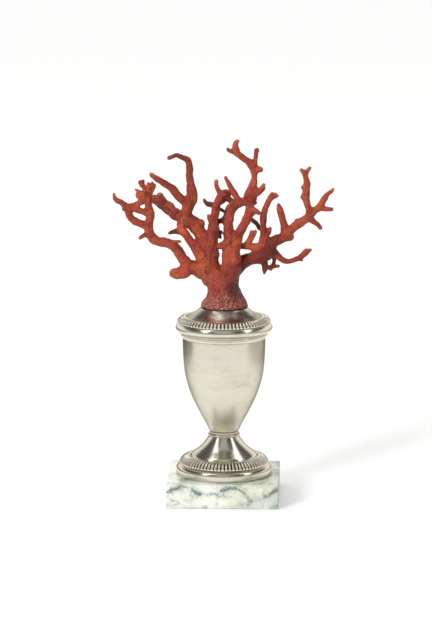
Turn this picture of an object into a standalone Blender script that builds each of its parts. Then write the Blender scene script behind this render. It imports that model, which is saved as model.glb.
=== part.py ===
"""A branch of red coral on a lidded silver urn, which stands on a square marble plinth.

Blender 4.5, metres, +Z up. The origin is the middle of the plinth's underside, and -Y is the front.
Every length below is in millimetres, and becomes metres where a mesh is made.
"""

from math import cos, pi, sin

import bmesh
import bpy
from mathutils import Vector

MM = 0.001
GAP = 0.3  # clearance between two pieces that touch

# Driving dimensions of the stand
PLINTH_SIDE = 78.0
PLINTH_HEIGHT = 17.0
PLINTH_EDGE = 0.6
FOOT_RADIUS = 33.9
STEM_RADIUS = 10.6
STEM_TOP = 44.0
BOWL_BOTTOM = 47.7
BOWL_TOP = 114.2
RIM_RADIUS = 34.1
RIM_TOP = 124.8
LID_TOP = 135.7
LID_TOP_RADIUS = 16.6
CORAL_BOTTOM = LID_TOP + GAP
TURNED_SIDES = 26
LOBES = 60  # gadroons round each border
LOBE_RELIEF = 0.35

# The point that the coral's front view is drawn from
EYE = Vector((70.0, -2066.0, 501.0))

# The coral's stem above the lid: height, middle across, half width, half depth
STEM_RINGS = [
    (0.0, 0.0, 16.3, 16.0),
    (1.8, 0.0, 16.1, 15.8),
    (5.0, 0.4, 14.5, 14.0),
    (8.5, 0.4, 12.4, 12.0),
    (12.0, -0.2, 11.3, 11.0),
    (15.5, -1.1, 11.4, 10.6),
    (20.0, -2.4, 12.6, 10.4),
    (24.5, -3.2, 12.7, 10.0),
    (27.6, -3.6, 10.6, 9.0),
]
STEM_SIDES = 14

# The coral's branches, each a row of points: across, up from the lid, forward, radius.
# Across and up are read in the front view, on the upright plane through the urn's axis.
BRANCHES = {
    "trunk_left": [
        (-8.0, 19.0, 0, 8.6), (-10.6, 25.0, 0, 8.0), (-11.8, 31.4, 0, 7.2)],
    "trunk_right": [
        (1.0, 19.0, 0, 7.6), (4.0, 25.0, 1.5, 6.9), (4.9, 31.4, 3, 6.1)],
    "trunk_low_left": [
        (-5.0, 19.6, 0, 6.2), (-15.5, 24.4, 0.5, 4.4), (-21.6, 27.1, 1, 4.1)],
    "trunk_low_right": [
        (2.0, 21.0, -1, 7.0), (12.9, 31.5, -5.2, 4.2)],
    "back_twig": [
        (3.0, 22.0, -5, 5.0), (4.5, 29.0, -12, 3.5), (5.0, 35.0, -18, 2.6), (5.6, 40.5, -22, 2.0),
        (5.0, 44.5, -25, 1.4)],
    "left_limb": [
        (-11.6, 36.0, 0, 6.8), (-11.4, 40.5, 0, 6.4), (-13.2, 45.5, -0.5, 5.3),
        (-15.9, 50.0, -1.5, 4.6), (-20.8, 57.8, -3.5, 4.5), (-23.8, 60.4, -4.5, 4.3),
        (-34.4, 65.6, -7.5, 3.8)],
    "left_lower_limb": [
        (-15.2, 37.0, 2, 4.6), (-21.7, 42.9, 3, 3.8), (-24.9, 46.7, 3.5, 3.6), (-27.1, 50.6, 3, 3.8),
        (-27.9, 54.4, 0.7, 4.1), (-27.4, 57.8, -2, 4.3), (-27.0, 61.0, -4, 4.0)],
    "left_limb_right_root": [
        (-9.6, 38.0, 0, 5.0), (-7.9, 53.7, 0, 3.4)],
    "left_limb_upper_root": [
        (-26.6, 62.0, -5, 3.6), (-26.2, 66.0, -4.5, 3.4), (-25.2, 69.6, -4, 3.5)],
    "left_limb_stub": [
        (-20.0, 58.0, -3, 3.4), (-16.6, 58.9, -3, 2.9)],
    "left_limb_dark_twig": [
        (-30.5, 53.2, 0, 2.0), (-36.6, 52.4, -3, 1.2), (-38.2, 51.6, -3.5, 0.8)],
    "left_limb_spur": [
        (-7.4, 51.6, -1, 1.3), (-2.5, 48.9, -3, 0.8)],
    "left_limb_back_twig": [
        (-20.5, 58.5, -5, 3.2), (-21.5, 59.5, -12, 2.2), (-23.0, 61.0, -18, 1.4)],
    "left_stem_back_twig": [
        (-10.5, 37.0, -3, 3.6), (-11.5, 40.0, -10, 2.6), (-12.5, 43.0, -15, 1.7)],
    "far_left_limb": [
        (-38.3, 68.8, -10, 3.8), (-41.8, 71.7, -12, 3.9), (-45.7, 74.2, -13.5, 3.5),
        (-49.5, 75.5, -15, 2.9), (-52.2, 76.1, -16, 2.1)],
    "far_left_limb_knob": [
        (-43.6, 75.5, -13, 2.4), (-44.6, 77.9, -13, 2.0)],
    "left_upright": [
        (-23.6, 73.6, -4, 3.7), (-22.4, 78.4, -4, 3.6), (-22.4, 81.2, -4, 3.3), (-23.8, 88.6, -4, 2.6),
        (-24.0, 97.0, -3, 2.1), (-24.2, 100.4, -2, 1.9), (-25.2, 103.0, -1, 1.8),
        (-30.2, 105.3, 2, 1.4), (-33.2, 106.4, 3, 1.25), (-38.3, 104.5, 5, 1.35)],
    "left_upright_root": [
        (-24.4, 73.4, -4, 2.6), (-27.6, 74.2, -3, 2.7), (-30.2, 76.0, -2, 2.5)],
    "left_slanting_branch": [
        (-33.4, 79.7, 0, 2.5), (-37.5, 83.8, 2, 2.25), (-44.8, 88.6, 5.5, 2.0), (-50.6, 92.6, 8, 1.3)],
    "low_left_arm": [
        (-25.0, 29.6, 1.5, 3.8), (-28.0, 32.9, 2, 3.4), (-33.6, 40.7, 3, 3.4), (-36.8, 43.5, 3.5, 3.0),
        (-40.5, 44.9, 4, 2.8), (-44.6, 45.4, 4.5, 2.8), (-48.0, 46.6, 5, 2.9), (-50.8, 49.4, 5.5, 2.9),
        (-52.4, 52.6, 5.5, 2.9)],
    "low_left_knob": [
        (-25.7, 27.4, 1.5, 3.3), (-27.8, 25.2, 3, 3.8), (-30.6, 23.6, 4, 3.9), (-33.4, 23.0, 5, 3.4),
        (-35.4, 23.3, 5.5, 2.9)],
    "low_left_thin_twig": [
        (-36.5, 45.0, 4, 1.1), (-33.0, 45.8, 4.5, 0.8), (-30.6, 45.8, 5.5, 0.7)],
    "low_left_lower_twig": [
        (-51.8, 50.2, 5.5, 1.5), (-56.0, 49.6, 6, 1.3), (-58.8, 48.1, 6, 1.0)],
    "outer_left_fan": [
        (-52.6, 56.0, 5.5, 2.8), (-51.3, 66.2, 5.5, 2.5), (-52.5, 69.3, 5.5, 2.1),
        (-53.2, 78.2, 5.5, 2.4), (-53.5, 80.2, 5.5, 1.8), (-55.0, 82.8, 6, 1.5),
        (-58.0, 87.3, 7, 1.65)],
    "outer_left_loop": [
        (-53.2, 56.8, 6, 2.3), (-56.8, 57.5, 7, 2.4), (-60.8, 59.2, 8, 2.4), (-64.2, 61.5, 8.5, 2.2),
        (-66.1, 64.3, 9, 2.2), (-67.6, 69.7, 9, 2.0), (-71.9, 73.3, 10, 1.8), (-74.4, 74.4, 10.5, 1.6),
        (-76.2, 76.4, 11, 1.3), (-76.8, 79.0, 11.5, 0.8)],
    "outer_left_upper_link": [
        (-66.9, 69.3, 9, 1.8), (-62.6, 70.6, 8, 1.9), (-59.2, 72.9, 7, 1.7), (-53.8, 77.6, 5.5, 1.8)],
    "outer_left_lower_link": [
        (-64.8, 69.4, 8.5, 1.6), (-51.8, 65.4, 5.5, 1.8)],
    "outer_left_spike": [
        (-57.4, 74.4, 6.5, 1.0), (-56.5, 72.4, 6.5, 0.5)],
    "outer_left_stub": [
        (-67.4, 69.0, 9, 1.3), (-70.2, 68.2, 9, 0.8)],
    "star_middle_twig": [
        (-53.0, 79.0, 6, 1.4), (-52.5, 83.5, 7, 1.1), (-52.8, 86.6, 7.5, 0.8)],
    "star_thin_twig": [
        (-52.2, 80.5, 6, 1.0), (-51.0, 86.0, 7, 0.7)],
    "star_right_twig": [
        (-52.8, 78.4, 5, 1.7), (-48.6, 85.0, 4, 1.35)],
    "star_left_twig": [
        (-53.6, 78.0, 5.5, 2.0), (-57.5, 78.3, 6, 1.8), (-60.6, 78.9, 6.5, 1.1)],
    "star_left_spike": [
        (-59.4, 78.8, 6.5, 1.0), (-60.1, 81.3, 6.5, 0.5)],
    "star_left_bump": [
        (-58.4, 78.2, 6.5, 1.3), (-60.5, 77.2, 6.5, 0.9)],
    "centre_left_limb": [
        (-7.5, 58.0, 0, 3.3), (-6.0, 66.8, -1, 3.0), (-3.6, 75.4, -2, 2.5), (-1.6, 78.8, -2.5, 2.5),
        (1.2, 80.0, -3, 2.3), (3.4, 80.2, -3.5, 1.9)],
    "centre_left_stub": [
        (-8.0, 60.0, 0.5, 2.0), (-10.8, 64.2, 2, 1.0)],
    "centre_left_dark_twig": [
        (-6.0, 70.2, -3, 1.8), (-8.8, 71.9, -5, 1.6), (-11.6, 72.4, -7, 1.6), (-13.2, 73.9, -8, 1.1),
        (-13.8, 75.4, -8.5, 0.7)],
    "centre_left_top_twig": [
        (-2.5, 79.2, -2.2, 1.6), (-5.6, 86.0, -2.5, 1.3), (-5.5, 88.2, -2.5, 1.3)],
    "centre_left_crossing_twig": [
        (-6.3, 61.2, -2.4, 2.1), (-2.4, 59.8, -7, 2.1), (2.4, 58.6, -8.5, 1.5)],
    "centre_left_thin_twig": [
        (-5.2, 69.4, -3, 1.1), (-2.8, 68.7, -4.5, 0.9), (0.8, 66.6, -6, 0.8)],
    "centre_limb": [
        (5.1, 36.0, 4, 5.9), (4.8, 41.0, 4.5, 5.5), (3.5, 51.0, 4, 3.5), (3.1, 56.5, 3.5, 2.9),
        (3.4, 61.5, 3, 2.6), (4.2, 66.0, 2.5, 2.8), (5.9, 69.8, 2, 2.8), (8.8, 72.4, 1.5, 2.7),
        (15.2, 74.4, 0.5, 2.3)],
    "centre_second_limb": [
        (6.6, 43.0, 4, 4.2), (8.2, 47.8, 3.5, 3.7), (10.5, 52.3, 3, 3.1), (15.8, 61.8, 2, 2.8),
        (18.0, 71.2, 1, 2.7), (18.0, 74.6, 0.5, 3.8), (18.2, 77.0, 0, 4.2)],
    "centre_slanting_twig": [
        (10.8, 73.6, 1.5, 2.0), (6.5, 80.6, 2, 1.9), (1.1, 91.0, 4, 1.05)],
    "centre_left_lump": [
        (2.5, 43.8, 6, 2.6), (-1.2, 43.2, 7, 2.3), (-3.0, 42.8, 7.5, 2.0)],
    "centre_front_stub": [
        (2.6, 44.4, 7, 1.7), (2.4, 45.0, 10.3, 1.3)],
    "centre_spur": [
        (2.4, 52.2, 2, 1.3), (-0.4, 51.6, 0.5, 0.9)],
    "centre_dark_ball": [
        (18.2, 73.0, 0, 1.6), (21.4, 73.4, -2.5, 1.3)],
    "centre_right_link": [
        (18.0, 69.4, 2, 1.7), (21.0, 68.3, 2.5, 1.5), (24.3, 65.9, 1.5, 1.2)],
    "centre_right_spur": [
        (18.0, 67.9, 1.1, 1.4), (20.5, 64.6, 1.1, 0.9)],
    "centre_right_dark_link": [
        (17.0, 63.0, 0, 1.7), (23.3, 57.7, -7, 1.3), (24.6, 55.2, -8.5, 1.1)],
    "crown": [
        (18.9, 80.4, -0.5, 3.8), (20.9, 90.4, -2, 2.0), (20.9, 93.4, -2, 2.0), (20.5, 96.4, -2, 2.4),
        (19.3, 99.4, -2, 2.6), (17.1, 101.8, -1.5, 2.2), (11.4, 105.8, -0.5, 1.8), (9.0, 107.9, 0, 2.0),
        (8.0, 110.6, 0.5, 2.1), (7.8, 113.6, 1, 1.9), (8.5, 115.6, 1.5, 1.4), (9.6, 116.5, 2, 1.0)],
    "crown_left_twig": [
        (8.0, 109.0, 0, 1.6), (3.2, 109.9, 1, 0.9), (2.4, 111.0, 1, 0.6)],
    "crown_right_prong": [
        (20.9, 98.4, -2, 1.7), (21.5, 102.6, -2.5, 1.2), (22.5, 110.2, -3.5, 1.6)],
    "crown_right_stub": [
        (21.6, 96.1, -2, 2.0), (25.4, 96.5, -2, 1.6)],
    "crown_lower_twig": [
        (20.5, 79.9, 0, 2.5), (23.6, 81.2, 0, 2.1), (25.6, 83.1, 0.5, 1.5), (27.6, 86.0, 1, 1.0)],
    "crown_lower_second_twig": [
        (24.6, 81.5, 0, 1.5), (27.9, 83.8, -0.5, 0.7)],
    "right_limb": [
        (16.6, 33.5, -4.6, 4.2), (24.0, 35.6, -2, 5.0), (27.8, 37.6, -1, 5.3), (30.4, 40.2, -0.5, 5.0),
        (32.4, 43.6, 0.5, 4.3), (34.8, 46.2, 1, 3.7), (40.0, 48.7, 2, 3.1)],
    "right_limb_upper_edge": [
        (10.0, 43.0, -5, 1.7), (18.0, 42.4, -1.5, 2.1), (22.0, 41.7, -1, 2.8), (26.0, 42.0, -0.5, 3.3),
        (29.6, 43.0, 0, 3.4)],
    "right_limb_upright_root": [
        (28.2, 42.0, -0.5, 3.6), (27.9, 48.6, -1.5, 2.7)],
    "right_limb_low_root": [
        (30.0, 38.4, -1, 3.6), (35.0, 38.3, -1.5, 2.4)],
    "right_limb_prong": [
        (15.4, 43.0, -1.5, 1.8), (17.0, 45.7, 0, 1.8), (18.0, 48.6, 0.5, 1.2), (19.2, 53.2, 1.5, 0.9)],
    "right_limb_second_prong": [
        (17.0, 45.3, 0, 1.5), (19.7, 48.9, 0, 1.1), (21.8, 53.4, 0, 0.9)],
    "right_limb_down_twig": [
        (27.2, 33.5, -3, 2.4), (28.5, 29.2, -3, 1.8), (28.1, 23.7, -3, 0.7)],
    "right_limb_ring": [
        (31.6, 37.0, -3.6, 2.0), (34.8, 35.2, -6, 1.3), (34.7, 31.2, -6, 1.15), (33.2, 28.2, -5.5, 1.2),
        (30.8, 27.8, -4, 1.2), (28.4, 28.6, -3, 1.2)],
    "right_limb_ring_twig": [
        (33.0, 28.0, -5.5, 1.0), (38.0, 28.9, -5.5, 0.8)],
    "right_limb_ring_bump": [
        (32.0, 28.0, -5, 1.1), (32.6, 26.4, -5, 0.9)],
    "low_right_branch": [
        (37.8, 35.8, -2, 2.2), (40.5, 33.5, -2, 1.9), (44.0, 32.2, -2, 1.7), (48.4, 33.1, -1.5, 1.5),
        (51.8, 34.6, -1, 1.55), (56.9, 38.4, 0, 1.9), (58.6, 39.6, 0, 1.5), (60.4, 40.5, 0, 0.7)],
    "low_right_second_tip": [
        (56.6, 38.6, 0, 1.5), (57.1, 40.6, 0.5, 0.8)],
    "low_right_nub": [
        (53.0, 35.2, -1, 1.1), (53.9, 33.1, -1, 0.8)],
    "right_upright": [
        (27.7, 51.6, -2, 2.3), (27.3, 55.9, -2, 2.0), (27.5, 64.6, -2.5, 2.2), (29.4, 71.2, -3, 1.7),
        (32.5, 77.8, -3, 1.7), (33.4, 79.8, -3, 1.0)],
    "right_upright_stub": [
        (29.0, 50.9, -2, 1.7), (31.2, 52.8, -2, 1.4), (32.0, 55.4, -2, 1.1)],
    "right_upright_twig": [
        (32.6, 77.2, -3, 1.3), (35.8, 79.8, -3, 0.6)],
    "right_upright_second_twig": [
        (32.8, 76.9, -3, 1.3), (37.2, 78.3, -3, 0.8)],
    "right_arm": [
        (43.0, 50.6, 2.5, 3.4), (48.5, 55.9, 3.5, 2.8), (51.6, 58.6, 4, 2.9), (54.8, 60.9, 4.5, 2.6)],
    "right_finger": [
        (42.6, 51.4, 2.5, 2.8), (41.7, 58.0, 2.5, 2.3), (39.4, 66.0, 1.5, 2.1), (37.8, 72.0, 0.5, 1.1)],
    "right_arm_knob": [
        (43.6, 50.0, 2, 2.6), (46.2, 49.3, 2, 2.2)],
    "right_arm_bump": [
        (50.8, 58.6, 4, 2.4), (50.5, 60.8, 4, 1.4)],
    "right_crown": [
        (57.6, 63.0, 5, 2.8), (59.2, 65.6, 5, 2.7), (58.9, 69.2, 5, 2.1), (56.9, 75.7, 5, 2.2),
        (56.8, 81.5, 5, 2.1), (57.6, 87.3, 5, 2.2), (56.2, 92.8, 5, 1.7), (55.0, 95.0, 5.5, 1.4),
        (53.4, 96.5, 6, 1.0)],
    "right_crown_tip": [
        (56.2, 93.4, 5, 1.4), (59.3, 97.8, 5, 1.0)],
    "right_crown_nub": [
        (56.4, 83.4, 5.5, 1.4), (54.3, 84.4, 6.5, 0.9)],
    "right_crown_bump": [
        (56.2, 77.3, 5.5, 2.0), (54.7, 77.3, 6, 1.5)],
    "right_crown_branch": [
        (59.4, 65.4, 5, 2.4), (66.2, 70.4, 6, 2.4), (70.2, 77.4, 7, 1.7), (72.0, 79.8, 7, 1.3),
        (74.4, 81.4, 7.5, 1.1), (75.9, 83.3, 8, 0.6)],
    "right_crown_level_twig": [
        (65.6, 70.0, 6, 1.7), (69.6, 69.3, 6, 1.35), (74.8, 69.1, 6, 1.25)],
    "right_crown_lower_twig": [
        (59.0, 63.4, 5, 2.0), (67.2, 55.8, 5, 1.2)],
}

# The pieces that the coral parts into at its main forks, and the branches grown together in each
PIECES = {
    "coral_trunk": (
        "trunk_left", "trunk_right", "trunk_low_left", "trunk_low_right", "back_twig"),
    "coral_left_limb": (
        "left_limb", "left_lower_limb", "left_limb_right_root", "left_limb_upper_root",
        "left_limb_stub", "left_limb_dark_twig", "left_limb_spur", "left_limb_back_twig",
        "left_stem_back_twig"),
    "coral_far_left_limb": ("far_left_limb", "far_left_limb_knob"),
    "coral_left_upright": ("left_upright", "left_upright_root"),
    "coral_left_slanting_branch": ("left_slanting_branch",),
    "coral_low_left_arm": (
        "low_left_arm", "low_left_knob", "low_left_thin_twig", "low_left_lower_twig"),
    "coral_outer_left_fan": (
        "outer_left_fan", "outer_left_loop", "outer_left_upper_link", "outer_left_lower_link",
        "outer_left_spike", "outer_left_stub", "star_middle_twig", "star_thin_twig",
        "star_right_twig", "star_left_twig", "star_left_spike", "star_left_bump"),
    "coral_centre_left_limb": (
        "centre_left_limb", "centre_left_stub", "centre_left_dark_twig", "centre_left_top_twig",
        "centre_left_crossing_twig", "centre_left_thin_twig"),
    "coral_centre_limb": (
        "centre_limb", "centre_second_limb", "centre_slanting_twig", "centre_left_lump",
        "centre_front_stub", "centre_spur", "centre_dark_ball", "centre_right_link",
        "centre_right_spur", "centre_right_dark_link"),
    "coral_crown": (
        "crown", "crown_left_twig", "crown_right_prong", "crown_right_stub", "crown_lower_twig",
        "crown_lower_second_twig"),
    "coral_right_limb": (
        "right_limb", "right_limb_upper_edge", "right_limb_upright_root", "right_limb_low_root",
        "right_limb_prong", "right_limb_second_prong", "right_limb_down_twig", "right_limb_ring",
        "right_limb_ring_twig", "right_limb_ring_bump"),
    "coral_low_right_branch": ("low_right_branch", "low_right_second_tip", "low_right_nub"),
    "coral_right_upright": (
        "right_upright", "right_upright_stub", "right_upright_twig", "right_upright_second_twig"),
    "coral_right_arm": ("right_arm", "right_finger", "right_arm_knob", "right_arm_bump"),
    "coral_right_crown": (
        "right_crown", "right_crown_tip", "right_crown_nub", "right_crown_bump",
        "right_crown_branch", "right_crown_level_twig", "right_crown_lower_twig"),
}

# Where one piece ends and the next goes on: the branch that goes on, and the one that it meets
GOES_ON_FROM = {
    "left_limb": "trunk_left",
    "centre_limb": "trunk_right",
    "low_left_arm": "trunk_low_left",
    "right_limb": "trunk_low_right",
    "far_left_limb": "left_limb",
    "left_upright": "left_limb_upper_root",
    "left_slanting_branch": "left_upright_root",
    "centre_left_limb": "left_limb_right_root",
    "outer_left_fan": "low_left_arm",
    "crown": "centre_second_limb",
    "right_upright": "right_limb_upright_root",
    "low_right_branch": "right_limb_low_root",
    "right_arm": "right_limb",
    "right_crown": "right_arm",
}


def clear_scene():
    for thing in list(bpy.data.objects):
        bpy.data.objects.remove(thing, do_unlink=True)


def material(name, colour, roughness, metallic=0.0):
    finish = bpy.data.materials.new(name)
    finish.use_nodes = True
    shader = finish.node_tree.nodes["Principled BSDF"]
    shader.inputs["Base Color"].default_value = (*colour, 1.0)
    shader.inputs["Roughness"].default_value = roughness
    shader.inputs["Metallic"].default_value = metallic
    return finish


def add_object(name, mesh, finish, smooth_angle=0.7):
    """Put a mesh in the scene, shaded smooth except across edges sharper than smooth_angle."""
    mesh.materials.append(finish)
    mesh.shade_smooth()
    mesh.set_sharp_from_angle(angle=smooth_angle)
    thing = bpy.data.objects.new(name, mesh)
    bpy.context.scene.collection.objects.link(thing)
    return thing


def mesh_of(name, bm):
    """Turn a closed bmesh in millimetres into a mesh in metres with its faces pointing out."""
    bmesh.ops.recalc_face_normals(bm, faces=bm.faces)
    bmesh.ops.scale(bm, vec=Vector((MM, MM, MM)), verts=bm.verts)
    mesh = bpy.data.meshes.new(name)
    bm.to_mesh(mesh)
    bm.free()
    return mesh


def turned(name, profile, finish):
    """A piece turned on the urn's axis, from (radius, height) points that start and end on the axis."""
    bm = bmesh.new()
    points = [bm.verts.new((radius, 0.0, height)) for radius, height in profile]
    edges = [bm.edges.new(pair) for pair in zip(points, points[1:])]
    bmesh.ops.spin(
        bm, geom=points + edges, cent=(0, 0, 0), axis=(0, 0, 1), angle=2 * pi, steps=TURNED_SIDES)
    bmesh.ops.remove_doubles(bm, verts=bm.verts, dist=0.01)
    return add_object(name, mesh_of(name, bm), finish)


def gadroon_border(name, section, finish):
    """A ring with rounded lobes, from a closed section of (radius, height, share of the relief)."""
    bm = bmesh.new()
    steps = 2 * LOBES
    rings = []
    for step in range(steps):
        angle = 2 * pi * step / steps
        lobe = LOBE_RELIEF if step % 2 == 0 else -LOBE_RELIEF
        ring = []
        for radius, height, share in section:
            out = radius + 0.7 * lobe * share
            ring.append(bm.verts.new((out * cos(angle), out * sin(angle), height + 0.7 * lobe * share)))
        rings.append(ring)
    join_rings(bm, rings + rings[:1])
    return add_object(name, mesh_of(name, bm), finish, smooth_angle=1.2)


def join_rings(bm, rings):
    """Faces between each ring of points and the next."""
    for lower, upper in zip(rings, rings[1:]):
        count = len(lower)
        for i in range(count):
            j = (i + 1) % count
            bm.faces.new((lower[i], lower[j], upper[j], upper[i]))


def in_space(point):
    """Place a branch's point: across and up in the front view, then forward along the line of sight."""
    across, up, forward, _radius = point
    drawn = Vector((across, 0.0, CORAL_BOTTOM + up))
    return drawn + forward * (EYE - drawn).normalized()


def sides_for(radius):
    """How many sides a branch has, from its thickest radius."""
    if radius > 3.4:
        return 7
    return 6 if radius > 1.8 else 5


def branch_mesh(name):
    """A tapering tube through a branch's points, with a flat start and a rounded or cut end."""
    points = BRANCHES[name]
    centres = [in_space(point) for point in points]
    radii = [point[3] for point in points]
    ways = [(b - a).normalized() for a, b in zip(centres, centres[1:])]
    if name in GOES_ON_FROM:
        end_of = BRANCHES[GOES_ON_FROM[name]]
        before, last = in_space(end_of[-2]), in_space(end_of[-1])
        cut_way = (last - before).normalized()
        centres.insert(0, last + GAP * cut_way)
        radii.insert(0, end_of[-1][3])
        ways.insert(0, (centres[1] - centres[0]).normalized())
        facings = [cut_way]
    else:
        facings = [ways[0]]
    facings += [(a + b).normalized() for a, b in zip(ways, ways[1:])] + [ways[-1]]
    has_tip = name not in GOES_ON_FROM.values()
    if has_tip:
        centres.append(centres[-1] + 0.62 * radii[-1] * ways[-1])
        radii.append(0.66 * radii[-1])
        facings.append(ways[-1])

    bm = bmesh.new()
    sides = sides_for(max(radii))
    across_corners = 2 / (1 + cos(pi / sides))  # so that a tube with few sides is as wide as drawn
    side = facings[0].orthogonal().normalized()
    rings = []
    for centre, radius, facing in zip(centres, radii, facings):
        side = (side - side.dot(facing) * facing).normalized()
        over = facing.cross(side)
        reach = radius * across_corners
        rings.append([
            bm.verts.new(centre + reach * (cos(2 * pi * i / sides) * side + sin(2 * pi * i / sides) * over))
            for i in range(sides)])
    join_rings(bm, rings)
    bm.faces.new(rings[0])
    if has_tip:
        peak = bm.verts.new(centres[-1] + 0.42 * radii[-1] * ways[-1])
        for i in range(sides):
            bm.faces.new((rings[-1][i], rings[-1][(i + 1) % sides], peak))
    else:
        bm.faces.new(rings[-1])
    return mesh_of(name, bm)


def stem_mesh():
    """The coral's stem: level rings from the flat cut that rests on the lid up to the forks."""
    bm = bmesh.new()
    rings = []
    for height, across, half_width, half_depth in STEM_RINGS:
        rings.append([
            bm.verts.new((
                across + half_width * cos(2 * pi * i / STEM_SIDES),
                half_depth * sin(2 * pi * i / STEM_SIDES),
                CORAL_BOTTOM + height))
            for i in range(STEM_SIDES)])
    join_rings(bm, rings)
    bm.faces.new(rings[0])
    bm.faces.new(rings[-1])
    return mesh_of("stem", bm)


def coral_piece(name, branches, finish):
    """One piece of the coral: its branches grown together by a union."""
    meshes = [branch_mesh(branch) for branch in branches]
    if name == "coral_trunk":
        meshes.insert(0, stem_mesh())
    whole = add_object(name, meshes[0], finish)
    if len(meshes) == 1:
        return
    grown_in = bpy.data.collections.new(name + "_branches")
    bpy.context.scene.collection.children.link(grown_in)
    for mesh in meshes[1:]:
        twig = bpy.data.objects.new(mesh.name + "_solid", mesh)
        twig.hide_render = True
        twig.display_type = "WIRE"
        mesh.materials.append(finish)
        grown_in.objects.link(twig)
    union = whole.modifiers.new("Grown together", "BOOLEAN")
    union.operation = "UNION"
    union.operand_type = "COLLECTION"
    union.collection = grown_in
    union.solver = "EXACT"


def plinth(finish):
    bm = bmesh.new()
    bmesh.ops.create_cube(bm, size=1.0)
    bmesh.ops.scale(bm, vec=Vector((PLINTH_SIDE, PLINTH_SIDE, PLINTH_HEIGHT)), verts=bm.verts)
    bmesh.ops.translate(bm, vec=Vector((0, 0, PLINTH_HEIGHT / 2)), verts=bm.verts)
    thing = add_object("plinth", mesh_of("plinth", bm), finish)
    edge = thing.modifiers.new("Worn edge", "BEVEL")
    edge.width = PLINTH_EDGE * MM
    edge.segments = 2


def foot(finish):
    """The round foot: a plain band, a groove, a seat for its border, and the flare up to the stem."""
    low = PLINTH_HEIGHT + GAP
    turned("foot", [
        (0.0, low), (FOOT_RADIUS, low), (FOOT_RADIUS, 22.0), (32.8, 23.4), (30.3, 24.5),
        (29.9, 24.9), (24.0, 29.2), (23.6, 30.8), (20.4, 33.4), (17.6, 35.4), (14.9, 38.1),
        (12.7, 41.0), (11.2, 43.2), (STEM_RADIUS, STEM_TOP), (0.0, STEM_TOP)], finish)
    gadroon_border("foot_border", [
        (30.5, 25.2, 0.0), (28.3, 28.5, 1.0), (24.5, 29.7, 0.0)], finish)


def collar(finish):
    """The bead and the groove between the foot and the bowl."""
    low = STEM_TOP + GAP
    turned("stem_collar", [
        (0.0, low), (10.6, low), (11.2, 44.7), (11.2, 45.3), (10.4, 45.8), (9.8, 46.1),
        (9.8, BOWL_BOTTOM - GAP), (0.0, BOWL_BOTTOM - GAP)], finish)


def bowl(finish):
    turned("bowl", [
        (0.0, BOWL_BOTTOM), (10.3, BOWL_BOTTOM), (13.3, 54.0), (16.9, 60.5), (21.0, 68.5),
        (23.8, 75.2), (26.1, 82.3), (27.5, 89.0), (28.4, 97.0), (28.9, 106.0),
        (29.0, BOWL_TOP), (0.0, BOWL_TOP)], finish)


def rim(finish):
    """The moulded rim that closes the bowl: two beads under a broad round moulding."""
    low = BOWL_TOP + GAP
    turned("rim", [
        (0.0, low), (29.3, low), (29.8, 116.0), (30.6, 116.6), (30.6, 117.4), (30.0, 117.8),
        (30.6, 118.6), (32.6, 119.3), (33.8, 120.4), (RIM_RADIUS, 121.7), (33.6, 123.4),
        (32.3, RIM_TOP), (0.0, RIM_TOP)], finish)


def lid(finish):
    """The lid: a seat for its border, then a low cone with a slight hollow up to the coral."""
    low = RIM_TOP + GAP
    turned("lid", [
        (0.0, low), (31.4, low), (31.2, 125.5), (27.3, 127.5), (26.9, 128.4), (23.0, 130.6),
        (20.6, 132.3), (18.6, 133.8), (17.2, 134.9), (LID_TOP_RADIUS, LID_TOP), (0.0, LID_TOP)], finish)
    gadroon_border("lid_border", [
        (31.7, 125.8, 0.0), (30.5, 127.9, 1.0), (27.6, 127.9, 0.0)], finish)


def main():
    clear_scene()
    marble = material("Veined marble", (0.72, 0.76, 0.71), 0.3)
    silver = material("Old silver", (0.74, 0.71, 0.64), 0.25, metallic=1.0)
    coral = material("Red coral", (0.42, 0.06, 0.03), 0.45)
    plinth(marble)
    foot(silver)
    collar(silver)
    bowl(silver)
    rim(silver)
    lid(silver)
    for name, branches in PIECES.items():
        coral_piece(name, branches, coral)


main()
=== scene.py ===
"""A branch of red coral on a lidded silver urn, on a square plinth of veined marble.

The urn is turned on a lathe, its two borders are chased with small gadroons, and the coral stands
on its lid. The file is laid out as a Blender add-on: its settings are in property groups, one
operator makes each group of pieces, and a panel in the sidebar lists them. Shapes are worked out in
millimetres, with +Z up, -Y to the front and the origin under the middle of the plinth.
"""

from itertools import product

import bpy
import numpy as np
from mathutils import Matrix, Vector


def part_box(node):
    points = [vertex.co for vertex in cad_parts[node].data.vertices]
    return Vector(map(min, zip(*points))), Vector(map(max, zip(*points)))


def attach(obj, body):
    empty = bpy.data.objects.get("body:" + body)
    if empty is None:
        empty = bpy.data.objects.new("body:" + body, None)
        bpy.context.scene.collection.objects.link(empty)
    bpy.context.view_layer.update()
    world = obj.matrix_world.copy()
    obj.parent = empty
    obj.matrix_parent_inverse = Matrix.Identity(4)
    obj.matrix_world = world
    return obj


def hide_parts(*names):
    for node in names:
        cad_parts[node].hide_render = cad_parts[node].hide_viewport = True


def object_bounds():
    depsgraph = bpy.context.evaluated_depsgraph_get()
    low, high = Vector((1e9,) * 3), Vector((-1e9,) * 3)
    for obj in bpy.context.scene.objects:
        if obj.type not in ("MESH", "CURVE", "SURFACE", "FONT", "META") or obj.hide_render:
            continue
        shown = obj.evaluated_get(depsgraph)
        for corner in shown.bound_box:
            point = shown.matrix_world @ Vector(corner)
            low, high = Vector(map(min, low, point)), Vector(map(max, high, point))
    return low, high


bl_info = {
    "name": "Red coral on a silver urn",
    "version": (1, 0, 0),
    "blender": (4, 5, 0),
    "location": "View3D > Sidebar > Coral",
    "description": "Makes a mounted branch of red coral, its silver urn and its marble plinth",
    "category": "Add Mesh",
}

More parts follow.
